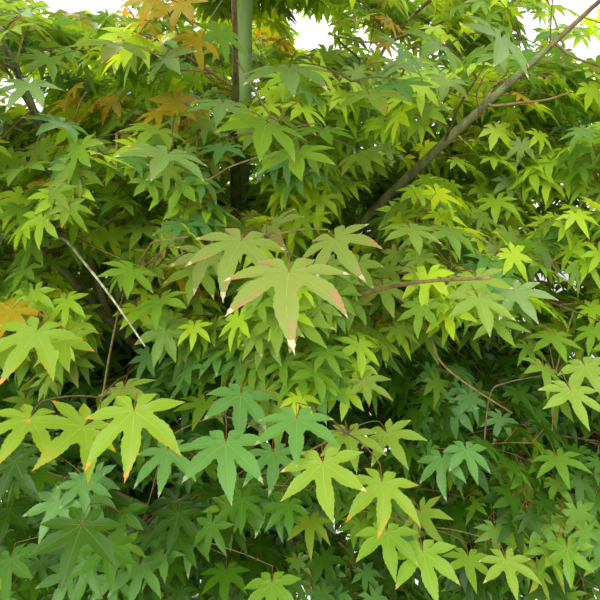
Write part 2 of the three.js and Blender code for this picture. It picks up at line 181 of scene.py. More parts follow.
# The camera, at the place and angle of the photo: 53 degrees across the frame
CAMERA = np.array([0.186, -1.050, 1.450])
CAMERA_PITCH = math.radians(14)
FOCAL_PIXELS = 600
FRAME_PIXELS = 600
HALF_FRAME = FRAME_PIXELS / 2
SIGHT = np.array([0, math.cos(CAMERA_PITCH), -math.sin(CAMERA_PITCH)])
PICTURE_UP = np.array([0, math.sin(CAMERA_PITCH), math.cos(CAMERA_PITCH)])
UP = np.array([0.0, 0.0, 1.0])
DOWN = -UP
RIGHT = np.array([1.0, 0.0, 0.0])


class Stream:
    """Seeded numbers from 0 to 1, the same as in the frame's rule."""

    def __init__(self, seed):
        self.state = seed & 0xFFFFFFFF

    def __call__(self):
        self.state = (self.state + 0x6D2B79F5) & 0xFFFFFFFF
        t = (self.state ^ (self.state >> 15)) * (self.state | 1) & 0xFFFFFFFF
        t ^= (t + ((t ^ (t >> 7)) * (t | 61))) & 0xFFFFFFFF
        return (t ^ (t >> 14)) / 4294967296


def child_seed(seed, k):
    return (seed + 7919 * (k + 1)) * 2654435761 & 0xFFFFFFFF


def varied(size, spread, random):
    return size * (1 - spread / 2 + spread * random())


def unit(v):
    return v / np.linalg.norm(v)


def is_steep(along):
    return abs(along[2]) > 0.8


def side_of(along):
    return unit(np.cross(RIGHT if is_steep(along) else UP, along))


def turned(v, axis, angle):
    return v * math.cos(angle) + np.cross(axis, v) * math.sin(angle)


def curve(start, bend, end, t):
    return start * (1 - t) ** 2 + bend * 2 * t * (1 - t) + end * t**2


# Stem and boughs
def trunk_point(t):
    height = -TRUNK_CUT + t * (TRUNK_LENGTH + TRUNK_CUT)
    turn = 2 * math.pi * height / TRUNK_WAVE
    lean = TRUNK_LEAN * height * (1 - TRUNK_STRAIGHTENS * height / TRUNK_LENGTH)
    return np.array([
        lean + TRUNK_SWAY * math.sin(turn),
        TRUNK_SWAY * 1.4 * math.sin(turn * 0.7),
        SOIL_LEVEL + GAP + height,
    ])


def trunk_at(z):
    return trunk_point((z - SOIL_LEVEL - GAP + TRUNK_CUT) / (TRUNK_LENGTH + TRUNK_CUT))


def trunk_radius(t, angle=None):
    height = -TRUNK_CUT + t * (TRUNK_LENGTH + TRUNK_CUT)
    taper = max(1 - height / TRUNK_LENGTH, 0) ** TRUNK_TAPER
    plain = TRUNK_TIP_RADIUS + (TRUNK_FOOT_RADIUS - TRUNK_TIP_RADIUS) * taper
    flare = FLARE_WIDTH * math.exp(-height / FLARE_HEIGHT)
    lobes = 0 if angle is None else FLARE_LOBES * np.cos(FLARE_ROOTS * angle)
    return plain + flare * (1 + lobes)


class Limb:
    """A bough's centre line, an arch with a slow seeded sway."""

    def __init__(self, name, foot, tip, arch, radius, seed):
        random = Stream(seed)
        span = tip - foot
        level = 0.5 - 0.3 * arch
        self.name = name
        self.foot = foot
        self.tip = tip
        self.bend = foot + span * np.array([level, level, 0.5 + 0.22 * arch])
        self.side = unit(np.cross(span, UP))
        self.sway = LIMB_SWAY * np.linalg.norm(span) * (0.5 + random())
        self.phase = 2 * math.pi * random()
        self.thick = radius

    def point(self, t):
        sway = self.sway * math.sin(math.pi * t) * math.sin(3 * math.pi * t + self.phase)
        return curve(self.foot, self.bend, self.tip, t) + self.side * sway

    def radius(self, t):
        return LIMB_TIP_RADIUS + (self.thick - LIMB_TIP_RADIUS) * max(1 - t, 0) ** LIMB_TAPER


def plan_crown():
    masses = []
    limbs = {}
    for tier_index, tier in enumerate(TIERS):
        for i, bearing in enumerate(tier["bearings"]):
            name = f"{tier['name']}_{i + 1}"
            size = {**tier, **OWN_WAY.get(name, {})}
            seed = child_seed(CROWN_SEED + tier_index, i)
            random = Stream(seed)
            height = size["height"] + HEIGHT_SPREAD * (2 * random() - 1)
            reach = size["reach"] + REACH_SPREAD * (2 * random() - 1)
            turn = math.radians(bearing)
            outward = np.array([math.cos(turn), math.sin(turn), 0])
            centre = trunk_at(height) + outward * reach
            parent = limbs.get(size.get("parent"))
            foot_height = size["foot"] + size["step"] * FOOT_ORDER[i]
            foot = parent.point(size["at"]) if parent else trunk_at(foot_height)
            tip = centre - outward * STEM_LENGTH / 2 + DOWN * STEM_DROP
            limb = Limb(name, foot, tip, size.get("arch", BOUGH_ARCH), size["radius"], seed)
            limb.parent = parent
            limbs[name] = limb
            masses.append(dict(name=name, tier=tier["name"], centre=centre, outward=outward,
                               seed=seed, point=limb.point))
    masses.append(dict(name="leader", tier="top", centre=trunk_point(1) + UP * LEADER_RISE,
                       outward=UP, seed=child_seed(CROWN_SEED, LEADER_SEED), point=trunk_point))
    return limbs, masses


# Foliage growth
def room_test(own, centres):
    size = np.array([MASS_HALF_WIDTH, MASS_HALF_WIDTH, MASS_HALF_HEIGHT])
    home = own / size
    others = np.array([c for c in centres if c is not own]) / size
    normals = (others - home) / np.linalg.norm(others - home, axis=1)[:, None]
    limits = (normals * (home + others) / 2).sum(1) - ROOM_MARGIN / MASS_HALF_HEIGHT
    return lambda places: bool(((np.atleast_2d(places) / size) @ normals.T < limits).all())


def walk(start, direction, length, steps, towards, pull, random):
    points = [start]
    heading = unit(direction)
    for _ in range(steps):
        points.append(points[-1] + heading * length / steps)
        heading = heading + towards * pull / steps
        wander = np.array([random() - 0.5, random() - 0.5, random() - 0.5])
        heading = unit(heading + wander * [WANDER, WANDER, WANDER_UP])
    return np.array(points)


def smoothed(points, parts=3):
    """A Catmull-Rom line through the points."""
    p = np.vstack([2 * points[0] - points[1], points, 2 * points[-1] - points[-2]])
    line = []
    for i in range(1, len(p) - 2):
        for t in np.arange(parts) / parts:
            a, b, c, d = p[i - 1], p[i], p[i + 1], p[i + 2]
            line.append(0.5 * (2 * b + (c - a) * t + (2 * a - 5 * b + 4 * c - d) * t**2
                               + (3 * b - a - 3 * c + d) * t**3))
    return np.array([*line, points[-1]])


def place_on(line, share):
    """The place and the heading at a share of a line."""
    k = share * (len(line) - 1)
    i = min(int(k), len(line) - 2)
    return line[i] + (line[i + 1] - line[i]) * (k - i), unit(line[i + 1] - line[i])


class Branch:
    """A twig or shoot: its centre line, its end radii, what it grows from and its leaves."""

    def __init__(self, line, thick, thin, parent=None):
        self.line = line
        self.thick = thick
        self.thin = thin
        self.parent = parent
        self.leaves = []
        self.kept = True


Leaf = namedtuple("Leaf", "root hub axis normal size tint dice")


def new_leaf(root, direction, outward, tint, random):
    reach = unit(direction + outward * STALK_OUTWARD * random() + DOWN * STALK_SAG)
    hub = root + reach * varied(PETIOLE, PETIOLE_SPREAD, random)
    axis = reach + outward * BLADE_OUTWARD
    axis = unit(axis * [1, 1, 0]) + DOWN * (BLADE_DROOP + DROOP_SPREAD * random())
    axis = unit(axis + np.array([random() - 0.5, random() - 0.5, 0]) * BLADE_TURN)
    normal = turned(unit(UP - axis * axis[2]), axis, BLADE_ROLL * (random() - 0.5))
    return Leaf(root, hub, axis, normal, varied(LEAF_SIZE, LEAF_SIZE_SPREAD, random), tint, random())


def add_shoot(growth, parent, start, direction, length, outward, seed):
    random = Stream(seed)
    length = varied(length, SHOOT_SPREAD, random)
    line = walk(start, direction, length, SHOOT_STEPS, DOWN, SHOOT_DROOP, random)
    shoot = Branch(line, SHOOT_RADIUS, SHOOT_RADIUS * 0.6, parent)
    main = tint_at(line[-1], random())
    for i, share in enumerate(LEAF_PLACES):
        place, along = place_on(line, share)
        side = turned(side_of(along), along, (i % 2) * 0.8)
        for hand in (-1, 1):
            tint = main if random() < SAME_TINT else tint_at(place, random())
            shoot.leaves.append(new_leaf(place, side * hand + along * 0.5, outward, tint, random))
    shoot.leaves.append(new_leaf(line[-1], along, outward, main, random))
    growth.append(shoot)


def add_twig(growth, parent, start, direction, length, places, outward, seed, in_room=None):
    random = Stream(seed)
    length = varied(length, TWIG_SIZE_SPREAD, random)
    points = walk(start, direction, length, TWIG_STEPS, DOWN, TWIG_DROOP, random)
    if in_room and not in_room(points):
        return
    twig = Branch(smoothed(points), TWIG_RADIUS * 0.75, SHOOT_RADIUS * 1.2, parent)
    dress_twig(growth, twig, places, outward, seed)


def dress_twig(growth, twig, places, outward, seed):
    """Shoots in pairs along a twig, and one at its end."""
    line = twig.line
    growth.append(twig)
    for i, share in enumerate(places):
        place, along = place_on(line, share)
        side = side_of(along)
        for hand in (-1, 1):
            direction = along * 0.8 + side * hand + UP * (0.45 * (i % 2) - 0.15)
            length = SHOOT_LENGTH * (1.15 - 0.35 * share)
            add_shoot(growth, twig, place, direction, length, outward, child_seed(seed, 10 * i + hand))
    add_shoot(growth, twig, line[-1], along, SHOOT_LENGTH, outward, child_seed(seed, END_SHOOT_SEED))


def dress_stem(growth, mass, line, i, in_room, random):
    """A pair of twigs at one joint of a mass's stem, and a pair of shoots before it."""
    along = unit(line[i] - line[i - 1])
    side = side_of(along)
    side = turned(side, along, i * math.pi / 2) if is_steep(along) else side
    spread = END_TWIG_SPREAD if i == STEM_STEPS else TWIG_SPREAD
    for hand in (-1, 1):
        tilt = TWIG_TILTS[(i + (hand + 1) // 2) % 2] + TILT_SPREAD * (random() - 0.5)
        add_twig(growth, growth[0], line[i], along + side * hand * spread + UP * tilt, TWIG_LENGTH,
                 SHOOT_PLACES, mass["outward"], child_seed(mass["seed"], 10 * i + hand), in_room)
    middle = (line[i] + line[i - 1]) / 2
    for hand in (-1, 1):
        direction = along * 0.4 + turned(side, along, 1.2) * hand
        seed = child_seed(mass["seed"], STEM_SHOOT_SEED + 10 * i + hand)
        add_shoot(growth, growth[0], middle, direction, SHOOT_LENGTH, mass["outward"], seed)


def grow_mass(mass, in_room):
    """The frame's stem and twigs of one mass, and the shoots on them."""
    random = Stream(child_seed(mass["seed"], STEM_SEED))
    start = mass["point"](1)
    heading = unit(start - mass["point"](0.9999))
    outward = mass["outward"]
    line = walk(start + heading * GAP, heading, STEM_LENGTH, STEM_STEPS, outward, STEM_BEND, random)
    while len(line) > 2 and not in_room(line[-1]):
        line = line[:-1]
    growth = [Branch(smoothed(line), STEM_RADIUS, SHOOT_RADIUS * 1.6)]
    for i in range(1, len(line)):
        dress_stem(growth, mass, line, i, in_room, random)
    direction = unit(line[-1] - line[-2])
    seed = child_seed(mass["seed"], END_TWIG_SEED)
    add_twig(growth, growth[0], line[-1], direction, TWIG_LENGTH * 0.8, SHOOT_PLACES, outward, seed)
    return growth


def grow_spurs(limb, seed):
    """Side twigs along a bough, which fill the crown's inside."""
    growth = []
    count = round(np.linalg.norm(limb.tip - limb.foot) * (1 - SPUR_FROM) / SPUR_STEP)
    for i, share in enumerate(np.linspace(SPUR_FROM, SPUR_TO, count)):
        start = limb.point(share)
        along = unit(limb.point(share + 0.01) - start)
        side = side_of(along)
        for hand in (-1, 1):
            direction = along * 0.5 + side * hand + UP * (0.6 * ((i + (hand + 1) // 2) % 2) - 0.3)
            outward = unit(direction * [1, 1, 0])
            add_twig(growth, None, start, direction, SPUR_LENGTH, SHOOT_PLACES[:3], outward,
                     child_seed(seed, SPUR_SEED + 10 * i + hand))
    return growth


def limb_samples(limbs):
    """Points along the trunk and every bough, with the wood's radius there."""
    rows = [(*trunk_point(t), trunk_radius(t)) for t in np.linspace(0, 1, 150)]
    rows += [(*limb.point(t), limb.radius(t)) for limb in limbs.values() for t in np.linspace(0, 1, 50)]
    return np.array(rows)


def clear_of_limbs(points, samples):
    """Whether each point stands clear of every limb."""
    clear = np.ones(len(points), bool)
    for x, y, z, radius in samples:
        clear &= ((points - [x, y, z]) ** 2).sum(1) > (radius + LIMB_CLEARANCE) ** 2
    return clear


# What the photo keeps in view
NEAREST = 0.56  # in the picture, only the listed leaves come nearer than this
STEM_WINDOWS = [(-20, 94), (163, 202)]  # rows where nothing hides the stem
SKY_WINDOWS = [  # left, top, right and bottom of the gaps where the sky shows
    (40, -10, 120, 12),
    (298, 26, 330, 50),
    (354, 26, 370, 44),
    (519, 10, 534, 28),
    (567, -10, 620, 14),
    (566, 47, 592, 61),
]
SHOWN_BOUGHS = {"upper_1": (0.40, 1.0), "middle_1": (0.62, 1.0)}
GREEN_PAINTED_LIGHT_BOUGHS = ["top_1", "top_2", "top_3"]  # new wood, as green as the stem it stands on, and as pale with the same painted light
SHOWN_MARGIN = 5  # pixels
TWIG_MARGIN = 4
HIDING_MARGIN = 45
MARK_ROOM = 0.03  # a leaf this little in front of a shown limb may stay
TWIG_ROOM = 0.01
TRUNK_MARKS = 400
BOUGH_MARKS = 60

# Leaves placed as the photo shows them, in sprays. For each: the pixel column and row of the
# point where its lobes meet, its width in pixels, the turn of its middle lobe in degrees to
# the right of straight down, and its tint.
KEY_SPRAYS = {
    "centre": [
        (289, 272, 125, 0, "hero"), (241, 241, 92, -19, "salmon"), (335, 239, 78, 28, "salmon"),
        (208, 255, 62, -14, "salmon"), (272, 226, 60, 30, "salmon"),
    ],
    "centre_left": [
        (200, 270, 55, -20, "lime"), (160, 300, 58, 10, "spring"), (142, 228, 50, -8, "lime"),
        (119, 200, 52, -20, "spring"),
    ],
    "over_centre": [
        (266, 125, 84, -8, "spring"), (298, 153, 80, -4, "spring"), (323, 130, 62, 8, "mid"),
        (222, 104, 60, 0, "pale"), (223, 147, 52, -6, "cool"), (359, 155, 50, 12, "brown_tip"),
    ],
    "top": [
        (289, 69, 84, 0, "pale"), (369, 94, 76, 18, "brown_tip"), (398, 84, 66, 10, "cool"),
    ],
    "left_of_stem": [
        (168, 154, 84, 0, "pale"), (158, 130, 60, -30, "lime"), (175, 118, 52, 14, "spring"),
    ],
    "top_left": [
        (119, 45, 80, 2, "salmon"), (166, 58, 60, 38, "pale"), (48, 58, 52, -24, "spring"),
    ],
    "far_left": [
        (29, 84, 62, -12, "pale"), (63, 123, 58, -22, "cool"), (24, 168, 60, 8, "spring"),
    ],
    "top_right": [
        (501, 38, 86, -22, "pale"), (440, 46, 74, -48, "spring"), (404, 52, 60, -30, "cool"),
    ],
    "left": [
        (36, 332, 88, -16, "yellow"), (66, 340, 62, 24, "yellow"), (12, 310, 60, -10, "gold"),
        (8, 345, 52, 20, "yellow"),
    ],
    "low_left": [
        (134, 411, 98, 12, "yellow"), (30, 418, 82, -10, "yellow"), (84, 426, 84, -42, "yellow"),
        (124, 388, 62, 6, "lime"),
    ],
    "low_middle": [
        (226, 443, 80, 8, "cool"), (168, 451, 66, 4, "cool"), (241, 395, 64, 0, "cool"),
        (273, 453, 64, 6, "cool"), (205, 402, 52, -16, "spring"),
    ],
    "low_centre": [
        (297, 419, 78, 4, "cool"), (323, 463, 86, 2, "lime"), (349, 434, 62, 14, "lime"),
        (382, 483, 78, -4, "yellow"), (387, 433, 58, 34, "lime"),
    ],
    "low_right": [
        (387, 533, 62, -6, "spring"), (423, 552, 64, 2, "spring"), (421, 512, 52, 30, "lime"),
        (310, 520, 48, 0, "yellow"), (468, 557, 50, -12, "spring"), (506, 560, 54, 4, "lime"),
    ],
    # These leaves take darker tints that stand for painted shade.
    "bottom_left": [
        (82, 525, 84, 0, "shade"), (178, 514, 58, -4, "shade"), (11, 560, 62, 16, "deep"),
        (226, 571, 50, 6, "deep"), (272, 583, 56, 0, "mid"), (10, 510, 56, 10, "shade"),
    ],
    "right": [
        (410, 229, 58, 8, "lime"), (450, 231, 52, 0, "spring"), (383, 286, 54, 6, "brown_tip"),
        (476, 278, 62, 6, "lime"), (478, 298, 66, 2, "lime"), (515, 292, 58, 24, "pale"),
        (495, 321, 56, 10, "spring"),
    ],
    "far_right": [
        (571, 391, 62, -4, "lime"), (544, 367, 52, -20, "lime"), (551, 336, 50, 8, "spring"),
        (585, 366, 54, 12, "lime"), (557, 457, 50, 0, "mid"),
    ],
}
KEY_DROOP = 55  # degrees that a blade's middle line leans towards the camera
KEY_DROOP_SPREAD = 16
KEY_STALK = 0.018
KEY_STALK_RISE = 0.012
KEY_NODE_BEHIND = 0.06  # how far a spray's stalks part behind it, as a share of its distance
KEY_NODE_DROP = 0.004
KEY_RISE = 0.08  # how far a spray's twig arches up, as a share of its length
TWIG_RISE = 0.12
KEY_TWIG_RADIUS = 0.0017
KEY_SHOOT_RADIUS = 0.0012
WIDTH_OF_LEAF = 1.28  # leaf width over the length of its middle lobe
WIDEST_LEAF = 125  # pixels
SMALL_LEAF = 0.050  # real width of a leaf that would be a point in the picture
LARGE_LEAF = 0.085  # and of the widest one

# Twigs placed as the photo shows them: the pixels they pass, how far ahead of the camera they
# begin and end, and their radius at the foot
SHOWN_TWIGS = {
    "right_upper": ([(480, 114), (477, 93), (487, 71)], 0.865, 0.83, 0.0021),
    "right_branch": ([(492, 106), (520, 103), (546, 100), (572, 92)], 0.86, 0.83, 0.0026),
    "right_fork": ([(556, 44), (572, 56), (600, 66), (640, 76)], 0.83, 0.80, 0.0026),
    "top_right_twig": ([(550, 46), (551, 22), (553, -6)], 0.83, 0.80, 0.0018),
    "left_rising": ([(46, 252), (58, 205), (68, 150), (78, 108), (86, 92)], 0.78, 0.74, 0.0026),
    "left_level": ([(44, 238), (58, 232), (88, 244), (120, 258)], 0.77, 0.73, 0.0023),
    "left_tan": ([(80, 242), (100, 228), (125, 210)], 0.75, 0.73, 0.0018),
    "left_outward": ([(40, 242), (22, 232), (0, 214), (-20, 200)], 0.77, 0.74, 0.0030),
    "dead": ([(62, 238), (84, 262), (112, 298), (145, 346)], 0.74, 0.68, 0.0025),
    "far_left_twig": ([(0, 148), (14, 126), (32, 110)], 0.76, 0.72, 0.0022),
    "stem_left": ([(191, 66), (192, 34), (191, -4)], 0.92, 0.90, 0.0016),
    "over_centre_twig": ([(200, 177), (232, 166), (262, 156), (280, 152)], 0.60, 0.56, 0.0014),
    "top_twig": ([(272, 117), (288, 108), (302, 100)], 0.60, 0.58, 0.0014),
    "level_top": ([(338, 38), (366, 42), (390, 40), (424, 26)], 0.86, 0.84, 0.0018),
    "centre_twig": ([(148, 248), (164, 240), (188, 237)], 0.66, 0.64, 0.0015),
    "right_low": ([(395, 298), (421, 316), (431, 338), (441, 362), (467, 384), (512, 413)],
                  0.80, 0.76, 0.0024),
    "right_low_side": ([(490, 395), (506, 383), (545, 375)], 0.78, 0.77, 0.0017),
}
DEAD_TWIG = "dead"
ACROSS_COST = 4  # how much worse it is for a twig to cross the picture than to run away from it


def project(points):
    """Pixel column, pixel row and depth of each point in the photo's frame."""
    rel = np.atleast_2d(points) - CAMERA
    depth = rel @ SIGHT
    scale = FOCAL_PIXELS / np.where(depth > 0.01, depth, 0.01)
    return HALF_FRAME + rel[:, 0] * scale, HALF_FRAME - rel @ PICTURE_UP * scale, depth


def placed(column, row, depth):
    """The point at a pixel of the photo's frame, this far ahead of the camera."""
    across = (column - HALF_FRAME) / FOCAL_PIXELS
    rise = (HALF_FRAME - row) / FOCAL_PIXELS
    return CAMERA + depth * (SIGHT + RIGHT * across + PICTURE_UP * rise)


def in_picture(column, row, depth, margin):
    """Whether each point lies in the frame or within a margin of pixels around it."""
    reach = HALF_FRAME + margin
    return (depth > 0) & (abs(column - HALF_FRAME) < reach) & (abs(row - HALF_FRAME) < reach)


def twig_points(pixels, near, far):
    depths = np.linspace(near, far, len(pixels))
    return [placed(column, row, depth) for (column, row), depth in zip(pixels, depths)]


def shown_marks(limbs, key_leaves):
    """Column, row, depth and reach in pixels of what no other leaf may hide."""
    marks = []

    def mark(place, radius, margin, room):
        column, row, depth = (value[0] for value in project(place))
        marks.append((column, row, depth - room, FOCAL_PIXELS * radius / depth + margin))

    for t in np.linspace(0.2, 1, TRUNK_MARKS):
        row = project(trunk_point(t))[1][0]
        if any(top < row < bottom for top, bottom in STEM_WINDOWS):
            mark(trunk_point(t), trunk_radius(t), SHOWN_MARGIN, MARK_ROOM)
    for name, (first, last) in SHOWN_BOUGHS.items():
        for t in np.linspace(first, last, BOUGH_MARKS):
            mark(limbs[name].point(t), limbs[name].radius(t), SHOWN_MARGIN, MARK_ROOM)
    for pixels, near, far, _ in SHOWN_TWIGS.values():
        for place in smoothed(np.array(twig_points(pixels, near, far)), 6):
            mark(place, 0, TWIG_MARGIN, TWIG_ROOM)
    for leaf in key_leaves:
        mark(leaf.hub + leaf.axis * leaf.size * 0.4, leaf.size * 0.7, 0, -MARK_ROOM)
    return np.array(marks)


def hides(points, marks):
    """Whether each point comes too near to the camera or in front of a mark."""
    column, row, depth = project(points)
    inside = in_picture(column, row, depth, HIDING_MARGIN)
    bad = inside & (depth < NEAREST)
    for left, top, right, bottom in SKY_WINDOWS:
        bad |= inside & (column > left) & (column < right) & (row > top) & (row < bottom)
    at = np.flatnonzero(inside & ~bad)
    for x, y, far, reach in marks:
        near = ((column[at] - x) ** 2 + (row[at] - y) ** 2 < reach**2) & (depth[at] < far)
        bad[at[near]] = True
    return bad


# Places where the photo shows leaves at the crown's edge: column, row and metres ahead
FILLED_PLACES = [
    (500, 120, 1.1), (545, 95, 1.05), (585, 130, 1.0), (560, 165, 0.95), (600, 185, 0.9), (530, 50, 1.2),
    (590, 60, 1.15), (500, 20, 1.2), (470, 60, 1.25), (575, 240, 0.95), (600, 300, 0.95), (560, 340, 1.0),
    (530, 400, 1.0), (570, 430, 0.95), (600, 390, 0.9), (590, 480, 0.9), (540, 470, 1.0), (370, 575, 0.9),
    (410, 595, 0.95), (460, 585, 1.0), (520, 590, 1.0), (575, 560, 0.9), (5, 470, 0.85), (15, 350, 0.95),
    (5, 250, 0.95), (30, 30, 1.0), (130, 20, 1.05), (170, 50, 1.1), (240, 132, 0.8), (228, 150, 0.86),
    (250, 118, 0.9), (228, 225, 0.8), (252, 215, 0.84), (270, 200, 0.95), (240, 245, 0.9),
    (110, 235, 0.95), (130, 245, 1.05), (265, 205, 1.05), (500, 350, 1.05), (490, 185, 1.15),
    (475, 160, 1.15), (60, 15, 1.1), (100, 30, 1.15), (520, 80, 1.1), (515, 365, 1.15), (35, 195, 0.74),
    (88, 176, 0.72), (118, 175, 0.7), (20, 285, 0.76), (96, 236, 0.8), (75, 300, 0.84), (150, 262, 0.74),
    (135, 190, 0.72), (172, 218, 0.78), (192, 190, 0.8), (262, 192, 0.85), (168, 262, 0.74),
    (360, 218, 0.88), (420, 176, 0.95), (404, 252, 0.84), (340, 190, 0.9), (446, 206, 0.92),
    (5, 160, 0.8), (12, 130, 0.9), (70, 215, 1.05), (185, 245, 1.05), (180, 275, 1.0), (10, 400, 0.9),
    (40, 385, 0.95), (110, 375, 0.95), (592, 104, 1.1), (574, 84, 1.15), (255, 185, 1.1),
    (430, 350, 0.95), (452, 388, 1.0), (470, 420, 0.95), (415, 378, 1.02), (440, 325, 1.05),
    (500, 402, 1.0), (425, 405, 0.9), (382, 282, 0.74), (430, 272, 0.76), (345, 298, 0.72),
    (455, 262, 0.8), (400, 300, 0.9), (450, 560, 1.0), (470, 580, 0.95), (495, 595, 0.95),
    (585, 590, 0.95), (465, 520, 1.05), (440, 478, 1.05), (5, 490, 0.95), (85, 590, 0.95),
]
REACHING_PLACES = [0.42, 0.62, 0.82]


def key_leaf(column, row, width, turn, tint, random):
    """A leaf at its place in the photo, as far ahead as its width says."""
    real_width = SMALL_LEAF + (LARGE_LEAF - SMALL_LEAF) * width / WIDEST_LEAF
    angle = math.radians(turn)
    down = RIGHT * math.sin(angle) - PICTURE_UP * math.cos(angle)
    droop = math.radians(KEY_DROOP + KEY_DROOP_SPREAD * (random() - 0.5))
    axis = down * math.cos(droop) - SIGHT * math.sin(droop)
    normal = turned(-SIGHT * math.cos(droop) - down * math.sin(droop), axis, 0.5 * (random() - 0.5))
    hub = placed(column, row, FOCAL_PIXELS * real_width / width)
    root = hub + SIGHT * KEY_STALK - down * KEY_STALK_RISE
    return Leaf(root, hub, axis, normal, real_width / WIDTH_OF_LEAF, tint, random())


def arched(start, end, rise, parts=8):
    """A line from start to end that bends upwards by a share of its length."""
    bend = (start + end) / 2 + UP * rise * np.linalg.norm(end - start)
    return curve(start, bend, end, np.linspace(0, 1, parts + 1)[:, None])


def nearest_wood(place, wood):
    """The wood nearest behind a place, where a twig from it crosses little of the picture."""
    depth = project(place)[2]
    behind = wood[project(wood)[2] > depth - TWIG_ROOM]
    across = behind - place
    ahead = across @ SIGHT
    distance = (across**2).sum(1) + (ACROSS_COST - 1) * ((across**2).sum(1) - ahead**2)
    return behind[np.argmin(distance)]


def key_sprays():
    """The leaves of the photo, spray by spray."""
    sprays = []
    for number, leaves in enumerate(KEY_SPRAYS.values()):
        random = Stream(child_seed(KEY_SEED, number))
        sprays.append([key_leaf(*leaf, random) for leaf in leaves])
    return sprays


def key_growth(sprays, wood):
    """Each spray on a twig from the nearest wood."""
    growth = []
    for spray in sprays:
        middle = np.mean([leaf.root for leaf in spray], axis=0)
        node = middle + (middle - CAMERA) * KEY_NODE_BEHIND + DOWN * KEY_NODE_DROP
        line = arched(nearest_wood(node, wood), node, KEY_RISE)
        twig = Branch(line, KEY_TWIG_RADIUS, KEY_SHOOT_RADIUS)
        growth.append(twig)
        for leaf in spray:
            line = arched(node, leaf.root, TWIG_RISE, 5)
            shoot = Branch(line, KEY_SHOOT_RADIUS, KEY_SHOOT_RADIUS / 2, twig)
            shoot.leaves.append(leaf)
            growth.append(shoot)
    return growth


def reaching_growth(places, wood, seed):
    """Longer twigs, with their shoots, that fill the places where the photo shows leaves."""
    growth = []
    for number, target in enumerate(places):
        end = placed(*target)
        foot = nearest_wood(end, wood)
        outward = unit((end - foot) * [1, 1, 0])
        twig = Branch(arched(foot, end, TWIG_RISE), TWIG_RADIUS * 0.7, SHOOT_RADIUS * 1.2)
        dress_twig(growth, twig, REACHING_PLACES, outward, child_seed(seed, number))
    return growth


def shown_twigs(wood):
    """The twigs of the photo, from the nearest wood; the dead one apart."""
    growth, dead = [], []
    for name, (pixels, near, far, radius) in SHOWN_TWIGS.items():
        points = twig_points(pixels, near, far)
        foot = nearest_wood(points[0], wood)
        if np.linalg.norm(foot - points[0]) > radius:
            points = [foot] + points
        twig = Branch(smoothed(np.array(points), 5), radius, radius * 0.45)
        (dead if name == DEAD_TWIG else growth).append(twig)
    return growth, dead


def thin_out(growth, marks, samples):
    """Drop the leaves and twigs that hide what shows, touch a limb or leave the box."""
    low = np.array(CAD_BOX[0]) - BOX_ROOM
    high = np.array(CAD_BOX[1]) + BOX_ROOM
    for branch in growth:
        free = branch.thick == STEM_RADIUS or not hides(branch.line[1:], marks).any()
        branch.kept = free and (branch.parent is None or branch.parent.kept)
    leaves = [leaf for branch in growth if branch.kept for leaf in branch.leaves]
    hubs = np.array([leaf.hub for leaf in leaves])
    ends = hubs + np.array([leaf.axis * leaf.size for leaf in leaves])
    good = ((ends > low) & (ends < high)).all(1)
    for points in (hubs, (hubs + ends) / 2, ends):
        good &= clear_of_limbs(points, samples) & ~hides(points, marks)
    kept = {id(leaf) for leaf, fine in zip(leaves, good) if fine}
    for branch in growth:
        branch.leaves = [leaf for leaf in branch.leaves if branch.kept and id(leaf) in kept]
    carrying = set()
    for branch in reversed(growth):
        if branch.kept and (branch.leaves or id(branch) in carrying):
            carrying.add(id(branch))
            carrying.add(id(branch.parent))
    return [branch for branch in growth if id(branch) in carrying and branch.kept]


# Leaves as joined meshes
LOBE_BEARINGS = [-140, -93, -46, 0, 46, 93, 140]
LOBE_LENGTHS = [0.42, 0.66, 0.9, 1.0, 0.9, 0.66, 0.42]
LOBES = len(LOBE_BEARINGS)
SINUS = 0.35  # how far from the middle the notches between the lobes lie
# Stations along half a lobe: how far along it, and half its width there
FINE_STATIONS = [(0.30, 0.104), (0.40, 0.132), (0.50, 0.148), (0.60, 0.142), (0.70, 0.114),
                 (0.79, 0.076), (0.87, 0.042), (0.94, 0.018)]
MIDDLE_STATIONS = [(0.30, 0.104), (0.56, 0.148)]
TOOTH = 0.015
TOOTH_AT = 0.72
VEIN_WIDTH = 0.0055
VEIN_LIFT = 0.005
VEIN_STATIONS = [0.03, 0.3, 0.6, 0.88]
FOLD = 0.24
FINE_REACH = 0.74  # how far from the camera a leaf still shows its teeth and veins
MIDDLE_REACH = 0.94
DETAIL_MARGIN = 40  # pixels around the frame
LEAF_SHAPES = 6
BLEND_WIDTH = 0.13  # share of a lobe's length between its blade's colour and its flush
# Zones of a leaf that take their own colours
BLADE, BLEND, FLUSH, TIP, VEIN, STALK = range(6)


